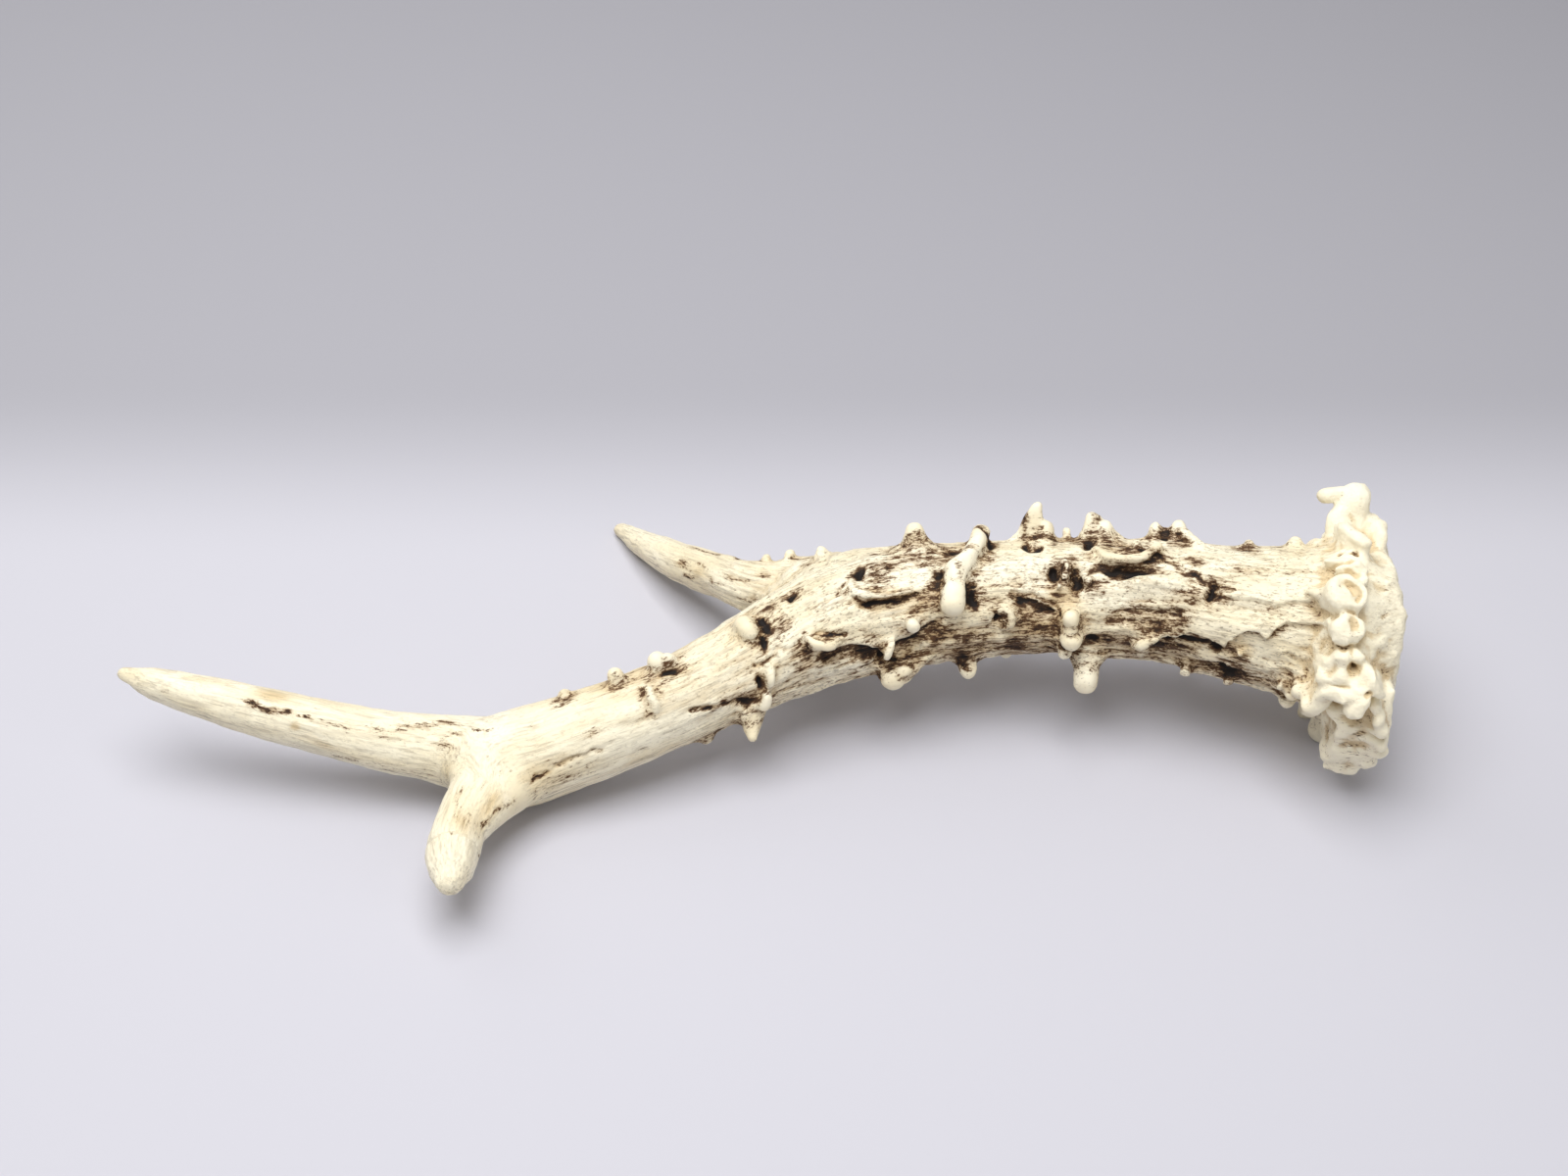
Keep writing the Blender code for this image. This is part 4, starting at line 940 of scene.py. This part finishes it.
def relief_tree(material):
    """Cuts long furrows along the fibres, as deep as 'worn' allows, and bends the shapes a little, as
    far as 'bent' allows."""
    names = ("Depth", "Width", "Length", "Stray", "Stray Size", "Seed")
    tree, sizes = new_geometry_tree("bone relief", names)
    worn = add(tree, "GeometryNodeInputNamedAttribute", {"Name": "worn"}, data_type="FLOAT")
    depth = add(tree, "ShaderNodeMath", {0: worn, 1: sizes["Depth"]}, operation="MULTIPLY")
    height = add(tree, "ShaderNodeMath", {0: furrow_nodes(tree, sizes), 1: depth}, operation="MULTIPLY")
    normal = add(tree, "GeometryNodeInputNormal")
    push = add(tree, "ShaderNodeVectorMath", {0: normal, "Scale": height}, operation="SCALE")
    place = add(tree, "GeometryNodeInputPosition")
    scaled = add(tree, "ShaderNodeVectorMath", {0: place, 1: sizes["Stray Size"]}, operation="DIVIDE")
    bend = add(tree, "ShaderNodeTexNoise",
               {"Vector": scaled, "W": sizes["Seed"], "Scale": 1.0, "Detail": 1.0}, noise_dimensions="4D")
    middle = (0.5, 0.5, 0.5)
    centred = add(tree, "ShaderNodeVectorMath", {0: bend.outputs["Color"], 1: middle}, operation="SUBTRACT")
    bent = add(tree, "GeometryNodeInputNamedAttribute", {"Name": "bent"}, data_type="FLOAT")
    reach = add(tree, "ShaderNodeMath", {0: bent, 1: sizes["Stray"]}, operation="MULTIPLY")
    stray = add(tree, "ShaderNodeVectorMath", {0: centred, "Scale": reach}, operation="SCALE")
    offset = add(tree, "ShaderNodeVectorMath", {0: push, 1: stray}, operation="ADD")
    moved = add(tree, "GeometryNodeSetPosition", {"Geometry": sizes["Geometry"], "Offset": offset})
    return close_geometry_tree(tree, moved, material)


def smoothed(points, edges, passes):
    """The points after each has moved to the middle of its neighbours, several times."""
    count = np.bincount(edges.ravel(), minlength=len(points))
    for _ in range(passes):
        total = np.empty_like(points)
        for axis in range(3):
            there = np.bincount(edges[:, 0], weights=points[edges[:, 1], axis], minlength=len(points))
            back = np.bincount(edges[:, 1], weights=points[edges[:, 0], axis], minlength=len(points))
            total[:, axis] = there + back
        points = 0.5 * (points + total / count[:, None])
    return points


def edges_of(mesh):
    edges = np.empty(len(mesh.edges) * 2, np.int32)
    mesh.edges.foreach_get("vertices", edges)
    return edges.reshape(-1, 2)


# The creases where limbs meet: middle and reach of the two forks and of the front tine's shoulder.
CREASES = (((-47, -27, 10), 15), ((0, 10, 17), 9), ((14, 8, 27), 12))
CREASE_CORE = 0.6  # share of the reach that is smoothed in full
CREASE_PASSES = 60
CORONET_PASSES = 3
FILLETS = (30, 12)  # smoothing passes of each round that fills hollow corners
FILLET_RISE = 0.12  # how hollow a place is, in millimetres, before it is filled in full


def soften(item, beam):
    """Rounds the coronet's knobs, fills the corners at the feet of all growths, and smooths the creases."""
    points = points_of(item.data)
    edges = edges_of(item.data)
    coronet = coronet_share(beam.measure(points)[0], before=2, after=0)
    points += coronet[:, None] * (smoothed(points, edges, CORONET_PASSES) - points)
    for passes in FILLETS:
        set_points(item.data, points)
        share = smooth_step(0, FILLET_RISE, hollowness(item.data, passes))
        points += share[:, None] * (smoothed(points, edges, passes) - points)
    soft = smoothed(points, edges, CREASE_PASSES)
    for centre, reach in CREASES:
        away = np.linalg.norm(points - np.array(centre), axis=1)
        share = 1 - smooth_step(CREASE_CORE * reach, reach, away)
        points += share[:, None] * (soft - points)
    set_points(item.data, points)


def hollowness(mesh, passes):
    """How far each point lies below its smoothed surroundings, in millimetres: crests are negative."""
    points = points_of(mesh)
    normals = np.empty(len(mesh.vertices) * 3, np.float32)
    mesh.vertex_normals.foreach_get("vector", normals)
    away = smoothed(points, edges_of(mesh), passes) - points
    return (away * normals.reshape(-1, 3)).sum(axis=1)


def stained(points, groups):
    """The strongest stain at each point, from groups of an axis and its stains."""
    most = np.zeros(len(points))
    for axis, stains in groups:
        limb = Limb(axis)
        for stain in stains:
            near, _ = spread(points, limb, stain, stain.along, stain.around)
            most = np.maximum(most, near * stain.strength)
    return most


FINE_PASSES = 6  # how far round a place its surroundings count, for crevices
WIDE_PASSES = 60  # the same for broad hollows
PEARL_SIDE = 8  # degrees below a pearl where the dirt at its foot is thickest
PEARL_SKIRT = 1.3  # radius of that dirt, in radii of the root
PEARL_SOIL = 0.5  # how dark that dirt is
SOILED = (20, 27)  # stations between the clean coronet and the pearls with dirt at their feet
PIT_SOIL = 0.9  # how dark the dirt in pits is
TINE_SOIL = 0.3  # how much of the beam's strewn dirt the tines keep
PEARLED = (108, 150)  # stations between the pearled beam and the smooth tines
RAISED = (0.6, 2.2)  # heights between which the fibres give way to the smooth bone of pearls


def pearled_share(station):
    """1 on the pearled beam, falling to 0 on the smooth tines."""
    return 1 - smooth_step(*PEARLED, station)


def paint(mesh, shift):
    """Attributes that the bone's material reads: fibres, hollows, dirt with painted shadow, and the kind of
    surface.
    """
    points = points_of(mesh) - np.array(shift)
    beam = Limb(BEAM)
    grain, over, stem_share = grain_of(points)
    set_attribute(mesh, "grain", "FLOAT_VECTOR", grain)
    set_attribute(mesh, "raised", "FLOAT", smooth_step(*RAISED, over))
    points = wandering(points)
    dirt = np.zeros(len(points))
    for pit in BEAM_PITS:
        near, _ = spread(points, beam, pit, pit.along * PIT_STAIN, pit.around * PIT_STAIN)
        dirt = np.maximum(dirt, near * PIT_SOIL)
    for pearl in BEAM_PEARLS:
        skirt = PEARL_SKIRT * pearl.root
        soil = PEARL_SOIL * smooth_step(*SOILED, pearl.station)
        foot = Stain(pearl.station, pearl.angle + PEARL_SIDE, skirt, skirt, soil)
        dirt = np.maximum(dirt, spread(points, beam, foot, skirt, skirt)[0] * soil)
    # dark along the grooves: dirt in the cracks, and painted shadow where they run under a lip
    for groove in GROOVES:
        dirt = np.maximum(dirt, groove_nearness(points, beam, groove) * groove.dirt)
    measured = beam.measure(points)
    # a band of painted shadow just under each shelf's edge
    for shelf in SHELVES:
        dirt = np.maximum(dirt, below_shelf(measured, shelf)[1] * shelf.dirt)
    set_attribute(mesh, "dirt", "FLOAT", np.maximum(dirt, stained(points, DIRT)))
    set_attribute(mesh, "ochre", "FLOAT", stained(points, OCHRE))
    set_attribute(mesh, "hollow", "FLOAT", hollowness(mesh, FINE_PASSES))
    set_attribute(mesh, "basin", "FLOAT", hollowness(mesh, WIDE_PASSES))
    pearled = pearled_share(grain[:, 0]) * (TINE_SOIL + (1 - TINE_SOIL) * stem_share)
    set_attribute(mesh, "pearled", "FLOAT", pearled)
    set_attribute(mesh, "burr", "FLOAT", coronet_share(grain[:, 0], before=3, after=3))


# The bone's patterns, noise in the coordinates of its fibres: size of a cell along them and across them
# in millimetres, detail, roughness, distortion and seed. Real pores and grit are under 0.2 mm, and are
# drawn as coarse as they need to show.
BONE_PATTERNS = (
    ("broad", 22, 7, 3, 0.55, 0.0, 0.0),
    ("patches", 8, 3, 4, 0.6, 0.4, 11.0),
    ("fibres", 7, 0.45, 4, 0.6, 0.2, 3.0),
    ("streaks", 16, 1.0, 3, 0.6, 0.3, 21.0),
    ("fine", 0.9, 0.3, 3, 0.7, 0.3, 7.0),
    ("coarse", 2.6, 0.8, 4, 0.65, 0.3, 9.0),
    ("pores", 0.9, 0.4, 2, 0.6, 0.2, 31.0),
    ("grit", 0.6, 0.6, 3, 0.6, 0.0, 17.0),
)
PAINTED = ("dirt", "hollow", "basin", "pearled", "burr", "ochre", "raised")
# How patterns and painted attributes are weighed, a node to a row: what it makes, the operation and its
# terms, which are numbers or the names of what is made before it.
BONE_STEPS = (
    # dirt specks of two sizes, the lower side of a limb, and the ground between its smooth crests
    ("fine", "SMOOTHSTEP", "fine", 0.3, 0.7),
    ("coarse", "SMOOTHSTEP", "coarse", 0.3, 0.7),
    ("coarse", "MULTIPLY", "coarse", 0.45),
    ("specks", "MULTIPLY_ADD", "fine", 0.55, "coarse"),
    ("down", "MULTIPLY", "up", -1.0),
    ("underside", "SMOOTHSTEP", "down", -5.0, 8.0),
    ("ground", "SUBTRACT", 1.0, "raised"),
    # bleached in broad patches and on the coronet
    ("broad", "SMOOTHSTEP", "broad", 0.35, 0.65),
    ("chalky", "MULTIPLY", "burr", 0.8),
    ("bleached", "MAXIMUM", "broad", "chalky"),
    # greasy in hollows, most of all between the coronet's knobs
    ("crevices", "MULTIPLY", "hollow", 4.0),
    ("crevices", "MULTIPLY", "crevices", "burr"),
    ("crevices", "MULTIPLY_ADD", "ochre", 1.1, "crevices"),
    ("grease", "MULTIPLY_ADD", "patches", 1.3, -0.64),
    ("grease", "MULTIPLY_ADD", "basin", 0.8, "grease"),
    ("grease", "ADD", "grease", "crevices"),
    ("grease", "SMOOTHSTEP", "grease", 0.0, 0.9),
    ("greasy", "MULTIPLY", "grease", 0.65),
    # open fibres and pores, fewer on the coronet and none on the pearls, and thicker on the lower side of
    # each limb as painted shade
    ("thread", "SMOOTHSTEP", "fibres", 0.48, 0.63),
    ("bundle", "SMOOTHSTEP", "patches", 0.3, 0.56),
    ("lines", "MULTIPLY", "thread", "bundle"),
    ("share", "MULTIPLY_ADD", "underside", 0.4, 0.5),
    ("lines", "MULTIPLY", "lines", "share"),
    ("streaks", "SMOOTHSTEP", "streaks", 0.54, 0.66),
    ("share", "MULTIPLY_ADD", "underside", 0.5, 0.24),
    ("streaks", "MULTIPLY", "streaks", "share"),
    ("pores", "SMOOTHSTEP", "pores", 0.52, 0.66),
    ("share", "MULTIPLY_ADD", "pearled", 0.32, 0.3),
    ("pores", "MULTIPLY", "pores", "share"),
    ("lines", "MAXIMUM", "lines", "streaks"),
    ("lines", "MAXIMUM", "lines", "pores"),
    ("lines", "MULTIPLY", "lines", "ground"),
    ("share", "MULTIPLY_ADD", "pearled", 0.25, 0.75),
    ("lines", "MULTIPLY", "lines", "share"),
    ("share", "MULTIPLY_ADD", "burr", -0.6, 1.0),
    ("lines", "MULTIPLY", "lines", "share"),
    # dirt, thick in pits and thinning into specks between the fibres, with painted shade in the hollows and
    # little on the coronet
    ("strewn", "MULTIPLY_ADD", "patches", 1.4, -0.6),
    # more of it on the lower side of each limb, as painted shade
    ("strewn", "MULTIPLY_ADD", "underside", 0.2, "strewn"),
    # the hollows darken it as painted shade, on top of the dirt and painted shadow that the skin carries
    ("density", "MULTIPLY_ADD", "hollow", 1.6, "dirt"),
    ("density", "MULTIPLY_ADD", "strewn", "pearled", "density"),
    ("grooved", "MULTIPLY_ADD", "fibres", 0.7, -0.35),
    ("density", "MULTIPLY_ADD", "grooved", "ground", "density"),
    ("share", "MULTIPLY_ADD", "burr", -0.45, 1.0),
    ("density", "MULTIPLY", "density", "share"),
    ("dusted", "MULTIPLY_ADD", "specks", 0.45, "density"),
    ("tinted", "SMOOTHSTEP", "dusted", 0.28, 0.98),
    ("tinted", "MULTIPLY", "tinted", 0.85),
    ("caked", "SMOOTHSTEP", "dusted", 0.72, 1.28),
    ("dirt_and_shade_coat", "MULTIPLY_ADD", "specks", 1.1, "density"),
    ("dirt_and_shade_coat", "SMOOTHSTEP", "dirt_and_shade_coat", 0.9, 1.24),
    # handled crests are smoother than the fibres, and dirt is dull
    ("roughness", "MULTIPLY_ADD", "dirt_and_shade_coat", 0.25, 0.46),
    # the height that bump adds to the furrows: the finest fibres, dirt and grit
    ("height", "MULTIPLY", "specks", -0.2),
    ("threads", "MULTIPLY", "fibres", "ground"),
    ("height", "MULTIPLY_ADD", "threads", 0.7, "height"),
    ("share", "MULTIPLY_ADD", "burr", 0.9, 0.4),
    ("height", "MULTIPLY_ADD", "grit", "share", "height"),
)


def bone_values(tree):
    """The sockets of all patterns, painted attributes and steps, by their names."""
    grain = add(tree, "ShaderNodeAttribute", attribute_name="grain").outputs["Vector"]
    values = {"up": add(tree, "ShaderNodeSeparateXYZ", {0: grain}).outputs["Y"]}
    for name in PAINTED:
        values[name] = add(tree, "ShaderNodeAttribute", attribute_name=name).outputs["Fac"]
    for name, along, across, detail, roughness, distortion, seed in BONE_PATTERNS:
        cell = (along, across, across)
        placed = add(tree, "ShaderNodeVectorMath", {0: grain, 1: cell}, operation="DIVIDE")
        pattern = add(tree, "ShaderNodeTexNoise",
                      {"Vector": placed, "W": seed, "Scale": 1.0, "Detail": detail,
                       "Roughness": roughness, "Distortion": distortion}, noise_dimensions="4D")
        values[name] = pattern.outputs[0]
    for name, operation, *terms in BONE_STEPS:
        inputs = {index: values.get(term, term) for index, term in enumerate(terms)}
        if operation == "SMOOTHSTEP":
            step = add(tree, "ShaderNodeMapRange", inputs, interpolation_type=operation)
        else:
            step = add(tree, "ShaderNodeMath", inputs, operation=operation)
        values[name] = step.outputs[0]
    return values


def bone_material(colours):
    """Cast antler bone, weathered and handled: chalky ivory crests, honey-coloured grease in the
    hollows, fibres that show as fine brown lines, and old dirt caked black in the pits, darkened as
    well by painted shade in its hollows, under its shelves and on the lower side of each limb."""
    material, tree = new_material("weathered_antler_bone")
    values = bone_values(tree)
    # umber and soot colour both the dirt and the painted shade and shadow of the skin
    thin, thick = tuple(colours.umber), tuple(colours.soot)
    dirt_and_shade_colour = add(tree, "ShaderNodeMix", {"Factor": values["caked"], 6: thin, 7: thick}, data_type="RGBA")
    coats = (("bleached", tuple(colours.chalk)), ("greasy", tuple(colours.honey)),
             ("lines", tuple(colours.ash)), ("tinted", tuple(colours.tan)), ("dirt_and_shade_coat", dirt_and_shade_colour.outputs[2]))
    surface = tuple(colours.ivory)
    for share, coat in coats:
        layer = add(tree, "ShaderNodeMix", {"Factor": values[share], 6: surface, 7: coat}, data_type="RGBA")
        surface = layer.outputs[2]
    bump = add(tree, "ShaderNodeBump", {"Height": values["height"], "Strength": 0.7, "Distance": 0.25 * MM})
    shader = add(tree, "ShaderNodeBsdfPrincipled",
                 {"Base Color": surface, "Roughness": values["roughness"], "IOR": 1.54,
                  "Specular IOR Level": 0.25, "Normal": bump})
    add(tree, "ShaderNodeOutputMaterial", {"Surface": shader})
    return material


GRAINS = 26000.0  # bony grains to a square metre of coronet
TINE_WEAR = 0.45  # how deep the furrows of the smooth tines are, as a share of the beam's
HANDLED = 0.35  # how much shallower they are on the upper side
UPPER_SIDE = (-4, 6)  # heights above a limb's axis between its lower and its upper side
CORONET_BEND = 1.5  # how much further the coronet's shapes stray than the beam's


def grown(shape, material):
    """The antler's skin in the frame of its own axes: tubes, grains, one skin, pits and furrows."""
    beam = Limb(BEAM)
    front = Limb(FRONT_TINE)
    others = (TOP_TINE, FRONT_TINE, REAR_TINE, FRONT_WEB, FRONT_SHOULDER, REAR_WEB)
    limbs = [beam_path(beam)] + [domed(Limb(points).path()) for points in others]
    growths = [pearl_path(beam, pearl) for pearl in BEAM_PEARLS + tuple(far_side_pearls())]
    growths += [pearl_path(front, pearl) for pearl in FRONT_PEARLS]
    for crest in BEAM_RIDGES:
        growths += ridge_paths(beam, crest)
    growths += coronet_paths(beam)
    voxel = shape.voxel
    skin = joined("skin", [swept("limbs", limbs, LIMB_SIDES), swept("growths", growths, TUBE_SIDES)])
    stations = grain_of(points_of(skin.data))[0][:, 0]
    beady = coronet_share(stations, before=4, after=4)
    beady *= smooth_step(BASE_FACE + 0.5, BASE_FACE + 2.5, stations)
    set_attribute(skin.data, "beady", "FLOAT", beady)
    modifier_with(skin, granule_tree(material), {"Size": shape.grain_size, "Density": GRAINS, "Seed": SEED})
    baked(skin)
    fused(skin, voxel)
    largest_shell(skin)
    soften(skin, beam)
    carve(skin, beam)
    grain, over, _ = grain_of(points_of(skin.data))
    set_attribute(skin.data, "grain", "FLOAT_VECTOR", grain * MM)
    coronet = coronet_share(grain[:, 0], before=2, after=4)
    worn = TINE_WEAR + (1 - TINE_WEAR) * pearled_share(grain[:, 0]) * (1 - coronet)
    handled = 1 - HANDLED * smooth_step(*UPPER_SIDE, grain[:, 1])
    set_attribute(skin.data, "worn", "FLOAT", worn * handled * (1 - smooth_step(*RAISED, over)))
    set_attribute(skin.data, "bent", "FLOAT", worn + CORONET_BEND * coronet)
    modifier_with(skin, relief_tree(material),
                  {"Depth": shape.furrow_depth, "Width": shape.furrow_width, "Length": shape.furrow_length,
                   "Stray": shape.stray, "Stray Size": shape.stray_size, "Seed": SEED})
    baked(skin)
    return thinned(skin, shape.triangles)


TRIM = 0.005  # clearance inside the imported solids' box


def set_on_frame(item):
    """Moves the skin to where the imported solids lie, trimmed to their box, and returns the shift."""
    points = points_of(item.data)
    low, high = (np.array(corner) / MM for corner in CAD_BOX)
    shift = (low + high - points.min(axis=0) - points.max(axis=0)) / 2
    shift[2] = 0
    set_points(item.data, np.clip(points + shift, low + TRIM, high - TRIM))
    return Vector(shift)


class ANTLER_OT_grow(bpy.types.Operator):
    """Grow the antler and coat it in weathered bone"""

    bl_idname = "antler.grow"
    bl_label = "Grow the antler"

    def execute(self, context):
        material = bone_material(context.scene.bone_colours)
        antler = grown(context.scene.antler_shape, material)
        antler.name = "antler"
        shift = set_on_frame(antler)
        context.scene["antler_shift"] = shift
        paint(antler.data, shift)
        antler.data.materials.clear()
        antler.data.materials.append(material)
        antler.data.shade_smooth()
        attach(antler, "root")
        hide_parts(*NODES)
        return {"FINISHED"}


FLOOR_SIZE = 4.0
FLOOR_FAR = (42, 104)  # millimetres behind the antler's middle between which painted shade darkens the card
FAR_PAINTED_SHADE = "#A5A4AB"
# The square soft lights: name, place and size in metres, and power as a share of the key light's.
LIGHTS = (
    ("key", (-0.07, -0.05, 0.62), 0.5, 1.0),
    ("fill", (0.55, -0.45, 0.45), 0.6, 0.19),
    ("window", (-0.42, 0.4, 0.5), 0.6, 0.24),
)
SKY = "#F8F7F5"
SKY_STRENGTH = 0.3
SENSOR_WIDTH = 36
CLIP_START = 0.01
CAMERA_SLIDE = 33  # millimetres behind the antler's own origin where the camera's line meets the floor


def card_material(near_colour):
    """Matt card: pale grey, with painted shade that darkens it towards the far edge."""
    material, tree = new_material("matt_card")
    place = add(tree, "ShaderNodeTexCoord")
    across = add(tree, "ShaderNodeSeparateXYZ", {0: place.outputs["Object"]})
    near, far = (distance * MM for distance in FLOOR_FAR)
    share = add(tree, "ShaderNodeMapRange",
                {"Value": across.outputs["Y"], "From Min": near, "From Max": far},
                interpolation_type="SMOOTHSTEP")
    shade = add(tree, "ShaderNodeMix", {"Factor": share, 6: tuple(near_colour), 7: linear(FAR_PAINTED_SHADE)},
                data_type="RGBA")
    shader = add(tree, "ShaderNodeBsdfPrincipled", {"Base Color": shade.outputs[2], "Roughness": 0.85})
    add(tree, "ShaderNodeOutputMaterial", {"Surface": shader})
    return material


def make_floor(near_colour):
    shell = bmesh.new()
    bmesh.ops.create_grid(shell, x_segments=1, y_segments=1, size=FLOOR_SIZE / 2)
    mesh = bpy.data.meshes.new("floor")
    shell.to_mesh(mesh)
    shell.free()
    mesh.materials.append(card_material(near_colour))
    new_object("floor", mesh)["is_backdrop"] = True


def make_light(name, place, size, power):
    """A square soft light that faces the antler."""
    light = bpy.data.lights.new(name, "AREA")
    light.energy = power
    light.size = size
    item = new_object(name, light)
    item.location = place
    item.rotation_euler = (-Vector(place)).to_track_quat("-Z", "Y").to_euler()


def make_camera(studio, shift):
    """The camera at the photograph's angle, above and in front of the antler."""
    camera = bpy.data.cameras.new("camera")
    camera.lens = studio.focal_length
    camera.sensor_width = SENSOR_WIDTH
    camera.clip_start = CLIP_START
    item = new_object("camera", camera)
    rise = studio.camera_height
    look = Vector((0, math.cos(rise), -math.sin(rise)))
    item.location = Vector(shift) * MM + Vector((0, CAMERA_SLIDE * MM, 0)) - look * studio.camera_distance
    item.rotation_euler = look.to_track_quat("-Z", "Y").to_euler()
    bpy.context.scene.camera = item


def make_sky():
    world = bpy.data.worlds.new("studio")
    world.use_nodes = True
    background = world.node_tree.nodes["Background"]
    background.inputs["Color"].default_value = linear(SKY)
    background.inputs["Strength"].default_value = SKY_STRENGTH
    bpy.context.scene.world = world


class ANTLER_OT_studio(bpy.types.Operator):
    """Lay the floor, hang the lights and set up the camera"""

    bl_idname = "antler.studio"
    bl_label = "Set the studio"

    def execute(self, context):
        studio = context.scene.antler_studio
        make_floor(studio.floor_colour)
        for name, place, size, share in LIGHTS:
            make_light(name, place, size, studio.key_power * share)
        make_sky()
        context.scene.view_settings.view_transform = "Standard"
        make_camera(studio, context.scene["antler_shift"])
        return {"FINISHED"}


class VIEW3D_PT_antler(bpy.types.Panel):
    """The antler's sizes, colours and steps"""

    bl_label = "Deer antler"
    bl_space_type = "VIEW_3D"
    bl_region_type = "UI"
    bl_category = "Antler"

    def draw(self, context):
        for name in ("antler_shape", "bone_colours", "antler_studio"):
            group = getattr(context.scene, name)
            box = self.layout.box()
            for field in group.bl_rna.properties:
                if not field.is_readonly and field.identifier != "name":
                    box.prop(group, field.identifier)
        self.layout.operator(ANTLER_OT_grow.bl_idname)
        self.layout.operator(ANTLER_OT_studio.bl_idname)


CLASSES = (AntlerShape, BoneColours, StudioSettings, ANTLER_OT_grow, ANTLER_OT_studio, VIEW3D_PT_antler)


def register():
    for item in CLASSES:
        bpy.utils.register_class(item)
    bpy.types.Scene.antler_shape = PointerProperty(type=AntlerShape)
    bpy.types.Scene.bone_colours = PointerProperty(type=BoneColours)
    bpy.types.Scene.antler_studio = PointerProperty(type=StudioSettings)


def unregister():
    del bpy.types.Scene.antler_studio
    del bpy.types.Scene.bone_colours
    del bpy.types.Scene.antler_shape
    for item in reversed(CLASSES):
        bpy.utils.unregister_class(item)


def main():
    register()
    bpy.ops.antler.grow()
    bpy.ops.antler.studio()
    boxes = {"cad": CAD_BOX, "visual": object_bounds()}
    boxes = {name: [list(corner) for corner in box] for name, box in boxes.items()}


if __name__ == "__main__":
    main()
